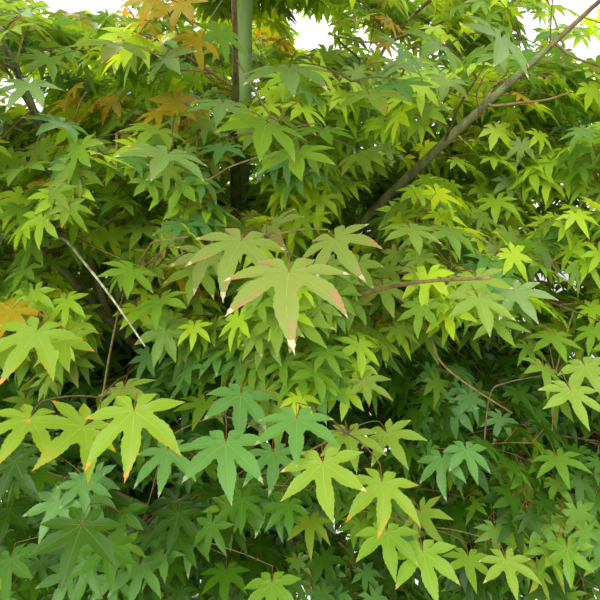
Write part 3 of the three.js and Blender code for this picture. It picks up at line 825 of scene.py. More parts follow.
class LeafShape:
    """One leaf of unit size: x along its middle lobe, z out of its upper side."""

    def __init__(self, seed):
        rng = np.random.default_rng(seed)
        self.points = [(0.0, 0.0, 0.0)]
        self.faces = []
        self.zones = []
        self.arch = rng.uniform(0.04, 0.22)
        self.turns = [math.radians(b + rng.uniform(-5, 5)) for b in LOBE_BEARINGS]
        self.reaches = [r * rng.uniform(0.92, 1.06) for r in LOBE_LENGTHS]
        self.curls = rng.uniform(-0.15, 0.3, LOBES)
        self.swings = rng.uniform(-0.14, 0.14, LOBES)
        self.slimness = rng.uniform(0.78, 0.98)
        self.flush_from = rng.uniform(0.55, 1.05, (LOBES, 3))
        self.tip_from = rng.uniform(0.88, 0.99, LOBES)

    def add(self, lobe, u, w, lift=0.0):
        """A point of a lobe, at a share of its length and so far off its middle line."""
        reach = self.reaches[lobe]
        bend = self.turns[lobe] + self.swings[lobe] * u**2
        x = reach * u
        y = w * self.slimness * min(1.0, 0.5 + 0.55 * reach)
        z = FOLD * abs(w) - self.arch * x**2 - self.curls[lobe] * reach * max(u - 0.5, 0) ** 2 + lift
        cos, sin = math.cos(bend), math.sin(bend)
        self.points.append((x * cos - y * sin, x * sin + y * cos, z))
        return len(self.points) - 1

    def add_notch(self, lobe):
        """The point between this lobe and the next."""
        a, b = self.reaches[lobe], self.reaches[lobe + 1]
        radius = SINUS * (0.7 * min(a, b) + 0.3 * max(a, b))
        turn = (self.turns[lobe] + self.turns[lobe + 1]) / 2
        z = FOLD * 0.4 * radius - self.arch * radius**2
        self.points.append((radius * math.cos(turn), radius * math.sin(turn), z))
        return len(self.points) - 1

    def add_face(self, lobe, face, hand, u):
        """A face of a lobe's half that reaches to a share of the lobe's length."""
        flush = self.flush_from[lobe][hand + 1]
        zone = BLADE if u <= flush else BLEND if u <= flush + BLEND_WIDTH else FLUSH
        self.faces.append(face[::-1] if hand < 0 else face)
        self.zones.append(TIP if u > self.tip_from[lobe] else zone)

    def add_half_lobe(self, lobe, hand, stations, mids, tip, notch, teeth):
        rim = [notch] + [self.add(lobe, u, w * hand) for u, w in stations[1:]]
        self.add_face(lobe, (0, mids[0], rim[0]), hand, 0)
        for k in range(len(rim) - 1):
            u, w = stations[k + 1]
            self.add_face(lobe, (mids[k], mids[k + 1], rim[k + 1]), hand, u)
            self.add_face(lobe, (mids[k], rim[k + 1], rim[k]), hand, u)
            if teeth:
                at = [b + TOOTH_AT * (c - b) for b, c in zip(stations[k], stations[k + 1])]
                point = self.add(lobe, at[0], (at[1] + TOOTH) * hand)
                self.add_face(lobe, (rim[k], rim[k + 1], point), hand, u)
        self.add_face(lobe, (mids[-1], tip, rim[-1]), hand, 1 if teeth else 0.8)

    def add_plain_half_lobe(self, lobe, hand, tip, notch):
        rim = self.add(lobe, 0.50, 0.158 * hand)
        self.add_face(lobe, (0, rim, notch), hand, 0)
        self.add_face(lobe, (0, tip, rim), hand, 0.7)

    def add_vein(self, lobe):
        strips = []
        for u in VEIN_STATIONS:
            width = VEIN_WIDTH * (1.15 - u)
            strips.append([self.add(lobe, u, w, VEIN_LIFT) for w in (-width, width)])
        for (a, b), (c, d) in zip(strips, strips[1:]):
            self.faces += [(a, c, d), (a, d, b)]
            self.zones += [VEIN, VEIN]

    def build(self, stations, teeth):
        """The blade with its lobes through these stations; without any it has no small lobes."""
        lobes = range(LOBES) if stations else range(1, LOBES - 1)
        notches = {lobe: self.add_notch(lobe) for lobe in lobes[:-1]}
        for lobe in lobes:
            end = (lobe == lobes[-1]) - (lobe == lobes[0])
            outer = self.add(lobe, 0.32, 0.1 * end) if end else None
            tip = self.add(lobe, 1.0, 0.0)
            mids = [self.add(lobe, u, 0.0) for u, _ in stations]
            for hand in (-1, 1):
                notch = notches.get(lobe + (hand - 1) // 2, outer)
                if stations:
                    self.add_half_lobe(lobe, hand, stations, mids, tip, notch, teeth)
                else:
                    self.add_plain_half_lobe(lobe, hand, tip, notch)
            if teeth:
                self.add_vein(lobe)
        return np.array(self.points), np.array(self.faces), np.array(self.zones)


def ring_steps(sides):
    """Each point of a ring, and the next one round; two sides make a flat strip."""
    a = np.arange(sides if sides > 2 else 1)
    return a, (a + 1) % sides


def ring_faces(sides, bands):
    """Triangles between each ring of points and the next."""
    a, b = ring_steps(sides)
    band = np.vstack([np.stack([a, b, b + sides], 1), np.stack([a, b + sides, a + sides], 1)])
    return np.vstack([band + k * sides for k in range(bands)])


def repeated(faces, count, step):
    """The same faces on many meshes in a row, each of this many points."""
    return (faces[None] + (np.arange(count) * step)[:, None, None]).reshape(-1, 3)


def joined(meshes):
    points, faces, start = [], [], 0
    for p, f in meshes:
        points.append(p)
        faces.append(f + start)
        start += len(p)
    return np.vstack(points), np.vstack(faces)


def stalk_mesh(roots, hubs, steps, sides):
    """Petioles as thin bent tubes or flat strips, from the twig to where the lobes meet."""
    span = hubs - roots
    length = np.linalg.norm(span, axis=1)[:, None]
    side = np.cross(span, UP + 0.01)
    side /= np.linalg.norm(side, axis=1)[:, None]
    over = np.cross(side, span) / length
    rings = []
    for t in np.arange(steps + 1) / steps:
        middle = roots + span * t + UP * length * 0.2 * t * (1 - t)
        radius = PETIOLE_RADIUS * (1.25 - 0.4 * math.sin(math.pi * t))
        for angle in np.arange(sides) * 2 * math.pi / sides:
            rings.append(middle + (side * math.cos(angle) + over * math.sin(angle)) * radius)
    points = np.stack(rings, 1).reshape(-1, 3)
    return points, repeated(ring_faces(sides, steps), len(roots), (steps + 1) * sides)


def blade_mesh(shape, hubs, sizes, axes, across, normals):
    """Leaves of one shape, each at its hub and turned its own way."""
    points, faces, _ = shape
    local = points[None] * sizes[:, None, None]
    here = (hubs[:, None] + local[..., :1] * axes[:, None]
            + local[..., 1:2] * across[:, None] + local[..., 2:] * normals[:, None])
    return here.reshape(-1, 3), repeated(faces, len(hubs), len(points))


def mesh_object(name, points, faces, material_index, materials):
    mesh = bpy.data.meshes.new(name)
    mesh.vertices.add(len(points))
    mesh.vertices.foreach_set("co", np.asarray(points, np.float32).ravel())
    mesh.loops.add(faces.size)
    mesh.loops.foreach_set("vertex_index", faces.astype(np.int32).ravel())
    mesh.polygons.add(len(faces))
    mesh.polygons.foreach_set("loop_start", np.arange(0, faces.size, faces.shape[1], dtype=np.int32))
    mesh.polygons.foreach_set("material_index", np.asarray(material_index, np.int32))
    mesh.polygons.foreach_set("use_smooth", np.ones(len(faces), bool))
    mesh.update(calc_edges=True)
    for material in materials:
        mesh.materials.append(material)
    obj = bpy.data.objects.new(name, mesh)
    bpy.context.scene.collection.objects.link(obj)
    return obj


# Materials
def linear(rgb):
    """Linear values of a colour given as 0 to 255."""
    share = np.array(rgb) / 255
    value = np.where(share <= 0.04045, share / 12.92, ((share + 0.055) / 1.055) ** 2.4)
    return (*value, 1.0)


def new_material(name, roughness):
    material = bpy.data.materials.new(name)
    material.use_nodes = True
    shader = material.node_tree.nodes["Principled BSDF"]
    shader.inputs["Roughness"].default_value = roughness
    return material, material.node_tree, shader


def add_node(tree, kind, values=None, links=None):
    """A shader node with these values in its sockets and these outputs linked to others."""
    node = tree.nodes.new(kind)
    for socket, value in (values or {}).items():
        node.inputs[socket].default_value = value
    for socket, output in (links or {}).items():
        tree.links.new(output, node.inputs[socket])
    return node


def object_place(tree):
    return tree.nodes.new("ShaderNodeTexCoord").outputs["Object"]


def add_ramp(tree, factor, first, last, start=0.0, end=1.0):
    """A blend from one colour to another along a factor."""
    node = add_node(tree, "ShaderNodeValToRGB", links={"Fac": factor})
    for stop, rgb, place in zip(node.color_ramp.elements, (first, last), (start, end)):
        stop.position = place
        stop.color = linear(rgb)
    return node.outputs["Color"]


def add_mix(tree, factor, colour, rgb):
    node = tree.nodes.new("ShaderNodeMix")
    node.data_type = "RGBA"
    tree.links.new(factor, node.inputs["Factor"])
    tree.links.new(colour, node.inputs["A"])
    node.inputs["B"].default_value = linear(rgb)
    return node.outputs["Result"]


def add_relief(tree, shader, height, strength, distance):
    size = {"Strength": strength, "Distance": distance}
    bump = add_node(tree, "ShaderNodeBump", size, {"Height": height})
    tree.links.new(bump.outputs[0], shader.inputs["Normal"])


def leaf_material(name, rgb):
    """A thin leaf: a satin surface, and light that comes through it."""
    material, tree, shader = new_material(name, 0.42)
    shader.inputs["Base Color"].default_value = linear(rgb)
    shader.inputs["Specular IOR Level"].default_value = 0.3
    through = linear([min(c * g, 255) for c, g in zip(rgb, GLOW_GAIN)])
    glow = add_node(tree, "ShaderNodeBsdfTranslucent", {"Color": through})
    both = {1: shader.outputs[0], 2: glow.outputs[0]}
    mix = add_node(tree, "ShaderNodeMixShader", {"Fac": GLOW_SHARE}, both)
    tree.links.new(mix.outputs[0], tree.nodes["Material Output"].inputs["Surface"])
    return material


# Leaf colours. A tint is the blade's colour, the flush further out, and the tip's
GLOW_GAIN = (1.22, 1.16, 0.8)  # light through a leaf is yellower than off it
GLOW_SHARE = 0.5
PALE_VEIN = (200, 206, 120)
TINTS = {
    "spring": ((112, 146, 42), (112, 146, 42), (150, 148, 70)),
    "mid": ((100, 138, 38),) * 3,
    # The next two tints are darker greens that stand for painted shade.
    "deep": ((66, 108, 20),) * 3,
    "shade": ((50, 84, 12),) * 3,
    "cool": ((94, 138, 66), (94, 138, 66), (146, 154, 110)),
    "lime": ((122, 148, 50), (122, 148, 50), (178, 164, 108)),
    # The next two tints are lighter greens that stand for painted light.
    "lit": ((168, 194, 44),) * 3,
    "bright": ((146, 180, 40),) * 3,
    "yellow": ((120, 148, 38), (140, 146, 40), (186, 134, 44)),
    "gold": ((166, 146, 30), (186, 128, 34), (180, 92, 36)),
    "brown_tip": ((118, 142, 50), (136, 134, 56), (146, 98, 62)),
    "salmon": ((122, 140, 64), (152, 122, 80), (184, 168, 138)),
    "hero": ((124, 138, 66), (158, 118, 82), (190, 174, 150)),
    # This tint's paler, bluer blade stands for a painted sheen off the upper side; its cream tip is the
    # leaf's dry edge.
    "pale": ((118, 146, 82), (128, 146, 88), (196, 190, 162)),
}
STALK_COLOUR = (158, 100, 62)
# How often each tint falls in each part of the crown; what is left over is mid. The lighter tints in the
# high, inner, left and outer mixes are painted light, and the darker ones in the low mix are painted
# shade.
HIGH_MIX = dict(spring=0.12, mid=0.04, cool=0.06, lime=0.18, lit=0.24, bright=0.20, pale=0.05,
                yellow=0.06, gold=0.04)
INNER_MIX = dict(spring=0.18, mid=0.06, cool=0.08, lime=0.18, lit=0.20, bright=0.24, yellow=0.03,
                 gold=0.02)
LEFT_MIX = dict(spring=0.16, mid=0.06, cool=0.04, lime=0.20, lit=0.22, bright=0.12, yellow=0.08,
                gold=0.06, brown_tip=0.05)
OUTER_MIX = dict(spring=0.26, mid=0.12, deep=0.02, cool=0.10, lime=0.18, lit=0.12, bright=0.16,
                 brown_tip=0.03)
LOW_MIX = dict(spring=0.04, mid=0.14, deep=0.38, shade=0.34, cool=0.06, yellow=0.03)
HIGH_FROM = 1.40
LOW_TO = 1.18
CROWN_MIDDLE = (0.06, 0.0)
INNER_REACH = 0.30
LEFT_TO = -0.15


def tint_at(place, dice):
    """A spray's tint, by where in the crown it grows: painted light high up, inside and at the sides,
    painted shade low down.
    """
    if place[2] > HIGH_FROM:
        mix = HIGH_MIX
    elif place[2] < LOW_TO:
        mix = LOW_MIX
    elif math.dist(place[:2], CROWN_MIDDLE) < INNER_REACH:
        mix = INNER_MIX
    else:
        mix = LEFT_MIX if place[0] < LEFT_TO else OUTER_MIX
    total = 0
    for name, share in mix.items():
        total += share
        if dice < total:
            return name
    return "mid"


class Palette:
    """The leaf materials, and which of them each zone of a leaf takes."""

    def __init__(self):
        self.materials = []
        self.known = {}
        self.rows = {}
        stalk = self.index("stalk", STALK_COLOUR)
        for name, (blade, flush, tip) in TINTS.items():
            vein = [0.65 * b + 0.35 * p for b, p in zip(blade, PALE_VEIN)]
            blend = [(b + f) / 2 for b, f in zip(blade, flush)]
            zones = [("", blade), ("_blend", blend), ("_flush", flush), ("_tip", tip), ("_vein", vein)]
            self.rows[name] = [self.index(name + zone, rgb) for zone, rgb in zones] + [stalk]

    def index(self, name, rgb):
        key = tuple(rgb)
        if key not in self.known:
            self.known[key] = len(self.materials)
            self.materials.append(leaf_material(name, rgb))
        return self.known[key]


def young_wood_and_painted_light(tree, colour, young_and_painted_light):
    """The same wood, greener and paler higher up: greener as new growth, and paler as painted light for
    the stem in the crown's shade.
    """
    height = add_node(tree, "ShaderNodeSeparateXYZ", links={0: object_place(tree)})
    limits = {"From Min": 0.8, "From Max": 1.6, "To Max": 0.8}
    rise = add_node(tree, "ShaderNodeMapRange", limits, {"Value": height.outputs["Z"]})
    return add_mix(tree, rise.outputs[0], colour, young_and_painted_light)


# Each bark's own colour, that of its streaks and flecks, and how fine and how drawn out they are
BARKS = {
    # The trunk's last colour, greener and paler, is partly new wood and partly painted light.
    "trunk": dict(base=(104, 118, 66), dark=(62, 72, 36), pale=(156, 156, 118), scale=60,
                  streak=0.12, young_and_painted_light=(124, 152, 80)),
    "bough": dict(base=(98, 104, 50), dark=(66, 62, 28), pale=(150, 144, 106), scale=80, streak=0.3),
    "twig": dict(base=(116, 98, 50), dark=(86, 62, 34), pale=(150, 132, 88), scale=120, streak=0.4),
    "dead": dict(base=(178, 180, 142), dark=(120, 116, 84), pale=(206, 206, 180), scale=120,
                 streak=0.4),
}


def bark_material(kind, base, dark, pale, scale, streak, young_and_painted_light=None):
    """Young maple bark: green-brown with long dark streaks, pale flecks and a low relief."""
    material, tree, shader = new_material(f"{kind}_bark", 0.72)
    place = object_place(tree)
    drawn_out = {"Scale": (scale, scale, scale * streak)}
    stretch = add_node(tree, "ShaderNodeMapping", drawn_out, {"Vector": place}).outputs[0]
    mottle = add_node(tree, "ShaderNodeTexNoise", {"Scale": 1.0, "Detail": 5.0}, {"Vector": stretch})
    colour = add_ramp(tree, mottle.outputs["Fac"], dark, base, 0.36, 0.62)
    spots = add_node(tree, "ShaderNodeTexVoronoi", {"Scale": scale * 3.2}, {"Vector": place})
    limits = {"From Min": 0.10, "From Max": 0.22, "To Min": 0.65, "To Max": 0.0}
    fleck = add_node(tree, "ShaderNodeMapRange", limits, {"Value": spots.outputs["Distance"]})
    colour = add_mix(tree, fleck.outputs[0], colour, pale)
    # Greener and paler higher up: new wood, and painted light for the stem inside the crown.
    if young_and_painted_light:
        colour = young_wood_and_painted_light(tree, colour, young_and_painted_light)
    tree.links.new(colour, shader.inputs["Base Color"])
    add_relief(tree, shader, mottle.outputs["Fac"], 0.5, 0.0012)
    return material


def tube(line, radii, sides, relief=None, cap=True):
    """Points and faces of a round tube along a line, with its frame carried along."""
    line = np.asarray(line)
    radii = np.asarray(radii)
    heading = np.gradient(line, axis=0)
    heading /= np.linalg.norm(heading, axis=1)[:, None]
    side = side_of(heading[0])
    angle = np.arange(sides) * 2 * math.pi / sides
    points = []
    for k, (place, along) in enumerate(zip(line, heading)):
        side = unit(side - along * side.dot(along))
        over = np.cross(along, side)
        radius = radii[k] * (1 + (relief(k, angle) if relief else 0))
        out = np.cos(angle)[:, None] * side + np.sin(angle)[:, None] * over
        points.append(place + out * np.broadcast_to(radius, (sides,))[:, None])
    points = np.vstack(points)
    faces = ring_faces(sides, len(line) - 1)
    if cap:
        points = np.vstack([points, line[-1] + heading[-1] * radii[-1] * 0.6])
        a, b = ring_steps(sides)
        top = (len(line) - 1) * sides
        faces = np.vstack([faces, np.stack([a + top, b + top, np.full(sides, len(points) - 1)], 1)])
    return points, faces


def bark_relief(seed, strength, rings_each):
    """Low ridges along the wood and swollen rings where shoots once stood."""
    rng = np.random.default_rng(seed)
    waves = [(rng.integers(2, 7), rng.uniform(0.1, 0.5), rng.uniform(0, 6.28)) for _ in range(5)]

    def relief(k, angle):
        value = sum(np.sin(m * angle + n * k / 6 + phase) for m, n, phase in waves) / 5
        ring = math.exp(-(((k % rings_each) - rings_each / 2) / 1.6) ** 2)
        return strength * (value + 1.6 * ring)

    return relief


TRUNK_RINGS = 240
TRUNK_SIDES = 32
BOUGH_RINGS = 56
BOUGH_SIDES = 14
RELIEF = 0.035  # share of the wood's radius
SEAT_DEPTH = 0.016  # how far inside the stem a bough begins
COLLAR_SWELL = 0.45
COLLAR_REACH = 0.011


def make_trunk(material):
    shares = np.linspace(TRUNK_CUT / (TRUNK_LENGTH + TRUNK_CUT), 1, TRUNK_RINGS)
    line = np.array([trunk_point(t) for t in shares])
    relief = bark_relief(5, RELIEF, 19)

    def flared(k, a):
        return trunk_radius(shares[k], a) / trunk_radius(shares[k]) - 1 + relief(k, a)

    radii = [trunk_radius(t) for t in shares]
    points, faces = tube(line, radii, TRUNK_SIDES, flared, cap=False)
    points[:, 2] = np.maximum(points[:, 2], SOIL_LEVEL + GAP)
    finish_piece("bark_trunk", points, faces, [material], ["trunk"], "bark")


def make_bough(limb, material, seed):
    shares = np.linspace(0, 1, BOUGH_RINGS)
    line = np.array([limb.point(t) for t in shares])
    length = np.linalg.norm(limb.tip - limb.foot)
    from_seat = shares * length - (limb.parent.radius(0.4) if limb.parent else SEAT_DEPTH)
    collar = 1 + COLLAR_SWELL * np.exp(-np.maximum(from_seat, 0) / COLLAR_REACH)
    radii = np.array([limb.radius(t) for t in shares]) * collar
    points, faces = tube(line, radii, BOUGH_SIDES, bark_relief(seed, RELIEF, 9), cap=False)
    finish_piece(f"bark_{limb.name}", points, faces, [material], [f"bough_{limb.name}"], "bark")


def finish_piece(name, points, faces, materials, nodes, slot, index=None):
    """A piece of the tree, which rides on its one body and takes the place of these nodes."""
    index = np.zeros(len(faces)) if index is None else index
    obj = mesh_object(name, points, faces, index, materials)
    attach(obj, "root")
    if nodes:
        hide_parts(*nodes)


# Placing the foliage
STALKS = [(1, 2), (1, 3), (3, 3)]  # steps and sides of a leaf's stalk at each level of detail


def leaf_detail(hubs):
    """0, 1 or 2: how finely each leaf is made, by how near it is in the picture."""
    column, row, depth = project(hubs)
    inside = in_picture(column, row, depth, DETAIL_MARGIN)
    return np.where(inside & (depth < FINE_REACH), 2, np.where(inside & (depth < MIDDLE_REACH), 1, 0))


def leaf_shapes():
    """Points, faces and zones of each variant at each of the three levels of detail."""
    levels = [([], False), (MIDDLE_STATIONS, False), (FINE_STATIONS, True)]
    return [[LeafShape(11 + kind).build(*level) for kind in range(LEAF_SHAPES)] for level in levels]


def leaf_frames(leaves):
    """Which way the middle lobe, the side and the upper face of each leaf point."""
    axes = np.array([unit(leaf.axis) for leaf in leaves])
    normals = np.array([leaf.normal for leaf in leaves])
    normals = normals - axes * (normals * axes).sum(1)[:, None]
    normals /= np.linalg.norm(normals, axis=1)[:, None]
    return axes, np.cross(normals, axes), normals


def leaf_mesh(leaves, shapes, palette):
    """Points, faces and material indices of these leaves with their stalks."""
    hubs = np.array([leaf.hub for leaf in leaves])
    roots = np.array([leaf.root for leaf in leaves])
    sizes = np.array([leaf.size for leaf in leaves])
    rows = np.array([palette.rows[leaf.tint] for leaf in leaves])
    kinds = np.array([int(leaf.dice * LEAF_SHAPES) for leaf in leaves])
    frames = leaf_frames(leaves)
    detail = leaf_detail(hubs)
    meshes, index = [], []
    for level, (steps, sides) in enumerate(STALKS):
        for kind, shape in enumerate(shapes[level]):
            at = np.flatnonzero((detail == level) & (kinds == kind))
            if len(at):
                meshes.append(blade_mesh(shape, hubs[at], sizes[at], *(way[at] for way in frames)))
                index.append(rows[at][:, shape[2]].ravel())
        at = np.flatnonzero(detail == level)
        if len(at):
            meshes.append(stalk_mesh(roots[at], hubs[at], steps, sides))
            index.append(np.full(len(meshes[-1][1]), rows[0][STALK]))
    return *joined(meshes), np.concatenate(index)


def make_leaves(name, growth, nodes, shapes, palette):
    leaves = [leaf for branch in growth for leaf in branch.leaves]
    points, faces, index = leaf_mesh(leaves, shapes, palette)
    finish_piece(name, points, faces, palette.materials, nodes, "leaves", index)


# Pot and soil
def outer_radius(height):
    body_top = POT_HEIGHT - LIP_HEIGHT
    share = min(height / body_top, 1)
    return POT_BASE_RADIUS + (POT_RIM_RADIUS - LIP_WIDTH - POT_BASE_RADIUS) * share


def ring(radius, height, sides):
    """Points round a circle."""
    angle = np.arange(sides) * 2 * math.pi / sides
    return np.stack([radius * np.cos(angle), radius * np.sin(angle), np.full(sides, height)], 1)


def lathe(profile, sides):
    """Points and rings of four-cornered faces, in the profile's order."""
    a, b = ring_steps(sides)
    band = np.stack([a, b, b + sides, a + sides], 1)
    points = np.vstack([ring(r, z, sides) for r, z in profile])
    return points, [band + k * sides for k in range(len(profile) - 1)]


def pot_material():
    """Dull black moulded plastic, dusty and scuffed."""
    material, tree, shader = new_material("pot_plastic", 0.5)
    place = object_place(tree)
    dust = add_node(tree, "ShaderNodeTexNoise", {"Scale": 9, "Detail": 8}, {"Vector": place})
    colour = add_ramp(tree, dust.outputs["Fac"], (34, 35, 36), (66, 64, 60), 0.42, 0.78)
    tree.links.new(colour, shader.inputs["Base Color"])
    grain = add_node(tree, "ShaderNodeTexNoise", {"Scale": 700}, {"Vector": place})
    add_relief(tree, shader, grain.outputs["Fac"], 0.25, 0.0004)
    return material


def drain_slots(bands, outer, inner):
    """Open the slots in these two bands of faces, and give back the faces around each opening."""
    walls = []
    half = round(DRAIN_WIDTH / 2 / POT_BASE_RADIUS / (2 * math.pi) * POT_SIDES)
    for slot in range(DRAIN_SLOTS):
        middle = round((slot + 0.5) / DRAIN_SLOTS * POT_SIDES)
        columns = range(middle - half, middle + half)
        for column in columns:
            a, b, c, d = bands[outer][column]
            e, f, g, h = bands[inner][column]
            walls += [(a, b, g, h), (c, d, e, f)]
            if column == columns[0]:
                walls.append((a, h, e, d))
            if column == columns[-1]:
                walls.append((b, c, f, g))
        bands[outer][list(columns)] = -1
        bands[inner][list(columns)] = -1
    return walls


POT_MIDDLE = 0.0001  # radius at which underside and floor close
UNDERSIDE = 0.004  # how far the underside stands off the ground
FOOT_RING = 0.124


def pot_profile():
    """Radius and height of each ring, up the outside, over the lip and down inside, and the
    number of the band that the drain slots open."""
    body_top = POT_HEIGHT - LIP_HEIGHT
    drain_top = POT_FLOOR + DRAIN_HEIGHT
    rim = POT_RIM_RADIUS
    inner = outer_radius(body_top) - POT_WALL
    foot = [(POT_MIDDLE, UNDERSIDE), (FOOT_RING - 0.004, UNDERSIDE), (FOOT_RING, 0),
            (POT_BASE_RADIUS - 0.004, 0), (POT_BASE_RADIUS - 0.001, 0.001),
            (outer_radius(UNDERSIDE), UNDERSIDE)]
    heights = [POT_FLOOR, drain_top, *np.linspace(0.04, body_top - 0.002, 11)]
    lip = [(rim - 0.002, body_top), (rim, body_top + 0.002), (rim, POT_HEIGHT - 0.003),
           (rim - 0.001, POT_HEIGHT - 0.0008), (rim - 0.003, POT_HEIGHT), (inner + 0.002, POT_HEIGHT),
           (inner, POT_HEIGHT - 0.002), (inner, body_top)]
    inside = [(outer_radius(z) - POT_WALL, z) for z in (0.2, drain_top, POT_FLOOR)]
    outside = foot + [(outer_radius(z), z) for z in heights]
    return outside + lip + inside + [(POT_MIDDLE, POT_FLOOR)], len(foot)


def make_pot():
    profile, slot_band = pot_profile()
    points, bands = lathe(profile, POT_SIDES)
    walls = drain_slots(bands, slot_band, len(profile) - 3)
    faces = np.vstack([*bands, walls])
    faces = faces[faces[:, 0] >= 0]
    finish_piece("pot_shell", points, faces, [pot_material()], ["pot"], "pot")


def soil_material():
    material, tree, shader = new_material("bark_compost", 0.95)
    clods = add_node(tree, "ShaderNodeTexVoronoi", {"Scale": 120}, {"Vector": object_place(tree)})
    colour = add_ramp(tree, clods.outputs["Color"], (38, 26, 18), (104, 78, 54))
    tree.links.new(colour, shader.inputs["Base Color"])
    return material


SOIL_SIDES = 120
SOIL_RINGS = 46
SOIL_SKIRT = 0.03
SOIL_BELOW = 0.0015  # the rough surface's mean depth under the frame's
SOIL_WAVES = 0.004
SOIL_GRAIN = 0.0007


def make_soil():
    """The compost's surface, rough and a little lower at the pot's wall."""
    rng = np.random.default_rng(3)
    shoulder = SOIL_LEVEL - SOIL_DROP
    edge = outer_radius(shoulder) - POT_WALL - 0.001
    waves = [(rng.normal(0, 60, 2), rng.uniform(0, 6.28)) for _ in range(24)]
    rings = []
    for radius in np.linspace(0.002, edge, SOIL_RINGS):
        fall = SOIL_DROP * max(radius - SOIL_FLAT, 0) / (edge - SOIL_FLAT)
        points = ring(radius, SOIL_LEVEL - SOIL_BELOW - fall, SOIL_SIDES)
        rough = sum(np.sin(points[:, :2] @ wave + phase) for wave, phase in waves) / len(waves)
        points[:, 2] += SOIL_WAVES * rough + rng.uniform(-SOIL_GRAIN, SOIL_GRAIN, SOIL_SIDES)
        rings.append(points)
    rings.append(ring(edge, shoulder - SOIL_SKIRT, SOIL_SIDES))
    faces = ring_faces(SOIL_SIDES, SOIL_RINGS)
    finish_piece("soil_surface", np.vstack(rings), faces, [soil_material()], ["soil"], "soil")


# Stage
FLOOR_REACH = 14
FLOOR_COLOUR = (166, 166, 160)
SKY_COLOUR = (0.94, 0.97, 1.0, 1)
SKY_STRENGTH = 1.7
LIGHTS = {  # place, what it is aimed at, width and power
    "overhead": ((0.4, -0.6, 5.2), (0, 0, 1.2), 4.5, 350),
    "camera_side": ((-1.6, -3.8, 3.6), (0, 0, 2.0), 3.0, 340),
    "behind": ((-1.8, 3.4, 3.8), (-0.2, 0, 2.0), 3.0, 310),
}


def make_floor():
    far = FLOOR_REACH
    corners = [(-far, -far, 0), (far, -far, 0), (far, far, 0), (-far, far, 0)]
    material, _, shader = new_material("pale_floor", 0.8)
    shader.inputs["Base Color"].default_value = linear(FLOOR_COLOUR)
    mesh_object("floor", corners, np.array([[0, 1, 2, 3]]), [0], [material])


def make_stage():
    make_floor()
    scene = bpy.context.scene
    scene.world = scene.world or bpy.data.worlds.new("studio")
    scene.world.use_nodes = True
    background = scene.world.node_tree.nodes["Background"]
    background.inputs["Color"].default_value = SKY_COLOUR
    background.inputs["Strength"].default_value = SKY_STRENGTH
    scene.view_settings.view_transform = "Standard"
    for name, light in LIGHTS.items():
        add_light(name, *light)


def add_light(name, place, aim, size, power):
    data = bpy.data.lights.new(name, "AREA")
    data.size = size
    data.energy = power
    light = bpy.data.objects.new(name, data)
    light.location = place
    light.rotation_euler = (Vector(aim) - Vector(place)).to_track_quat("-Z", "Y").to_euler()
    bpy.context.scene.collection.objects.link(light)


def make_camera():
    data = bpy.data.cameras.new("camera")
    data.lens = data.sensor_width * FOCAL_PIXELS / FRAME_PIXELS
    data.clip_start = 0.02
    camera = bpy.data.objects.new("camera", data)
    camera.location = CAMERA
    camera.rotation_euler = (math.pi / 2 - CAMERA_PITCH, 0, 0)
    bpy.context.scene.collection.objects.link(camera)
    bpy.context.scene.camera = camera


def make_wood(name, growth, material, nodes=()):
    meshes = []
    for branch in growth:
        sides = 3 + 2 * (branch.thick > 0.002) + (branch.thick > 0.003)
        radii = np.linspace(branch.thick, branch.thin, len(branch.line))
        meshes.append(tube(branch.line, radii, sides, cap=sides > 3))
    finish_piece(name, *joined(meshes), [material], nodes, "bark")


def make_bark(limbs):
    trunk_bark = bark_material("trunk", **BARKS["trunk"])
    bough_bark = bark_material("bough", **BARKS["bough"])
    make_trunk(trunk_bark)
    for i, limb in enumerate(limbs.values()):
        make_bough(limb, trunk_bark if limb.name in GREEN_PAINTED_LIGHT_BOUGHS else bough_bark, BOUGH_SEED + i)


def grow_spurs_of(tier_index, tier, limbs):
    spurs = []
    for i, limb in enumerate(limbs.values()):
        if limb.name.startswith(tier["name"]):
            spurs += grow_spurs(limb, child_seed(CROWN_SEED + tier_index, BOUGH_SEED + i))
    return spurs


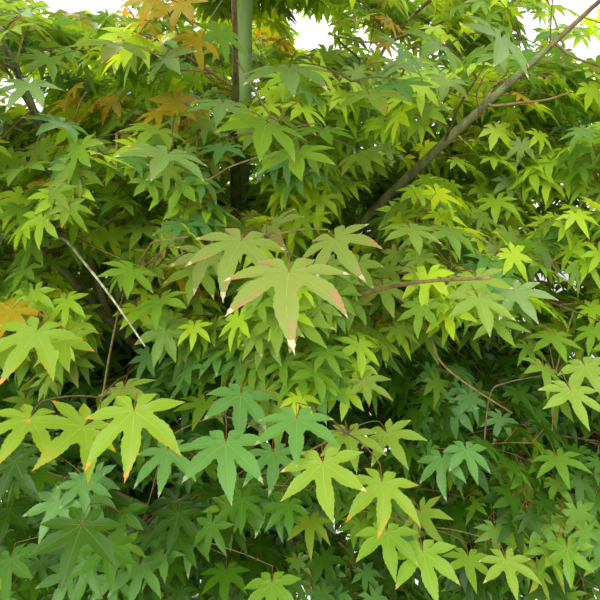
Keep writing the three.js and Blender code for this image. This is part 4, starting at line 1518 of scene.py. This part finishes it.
def grow_crown(limbs, masses, marks, samples):
    """Thinned growth by piece, with the nodes that each piece replaces."""
    centres = [mass["centre"] for mass in masses]
    crown = {}
    for mass in masses:
        growth = grow_mass(mass, room_test(mass["centre"], centres))
        crown[mass["name"]] = (thin_out(growth, marks, samples), [f"foliage_{mass['name']}"])
    for tier_index, tier in enumerate(TIERS):
        growth = grow_spurs_of(tier_index, tier, limbs)
        crown[f"inner_{tier['name']}"] = (thin_out(growth, marks, samples), [])
    return crown


def wood_points(samples, crown):
    """Points on the limbs and on the crown's twigs, for further twigs to grow from."""
    branches = [branch for growth, _ in crown.values() for branch in growth]
    return np.vstack([samples[:, :3]] + [b.line for b in branches if b.thick > SHOOT_RADIUS])


def add_reaching(crown, wood, marks, samples):
    """The growth that fills the edge of the picture, on its left and on its right."""
    for side, sign in (("left", -1), ("right", 1)):
        places = [place for place in FILLED_PLACES if (place[0] - HALF_FRAME) * sign >= 0]
        growth = reaching_growth(places, wood, child_seed(REACHING_SEED, sign))
        crown[f"reaching_{side}"] = (thin_out(growth, marks, samples), [])


def make_foliage(crown, sprays, wood):
    palette = Palette()
    shapes = leaf_shapes()
    twig_bark = bark_material("twig", **BARKS["twig"])
    keys = key_growth(sprays, wood)
    live, dead = shown_twigs(wood)
    make_leaves("leaves_front", keys, [], shapes, palette)
    make_wood("twigs_front", keys + live, twig_bark)
    make_wood("twig_dead", dead, bark_material("dead", **BARKS["dead"]))
    for name, (growth, nodes) in crown.items():
        make_leaves(f"leaves_{name}", growth, nodes, shapes, palette)
        make_wood(f"twigs_{name}", growth, twig_bark, nodes)


def main():
    limbs, masses = plan_crown()
    make_camera()
    make_stage()
    make_bark(limbs)
    samples = limb_samples(limbs)
    sprays = key_sprays()
    marks = shown_marks(limbs, [leaf for spray in sprays for leaf in spray])
    crown = grow_crown(limbs, masses, marks, samples)
    wood = wood_points(samples, crown)
    add_reaching(crown, wood, marks, samples)
    make_foliage(crown, sprays, wood)
    make_pot()
    make_soil()


main()
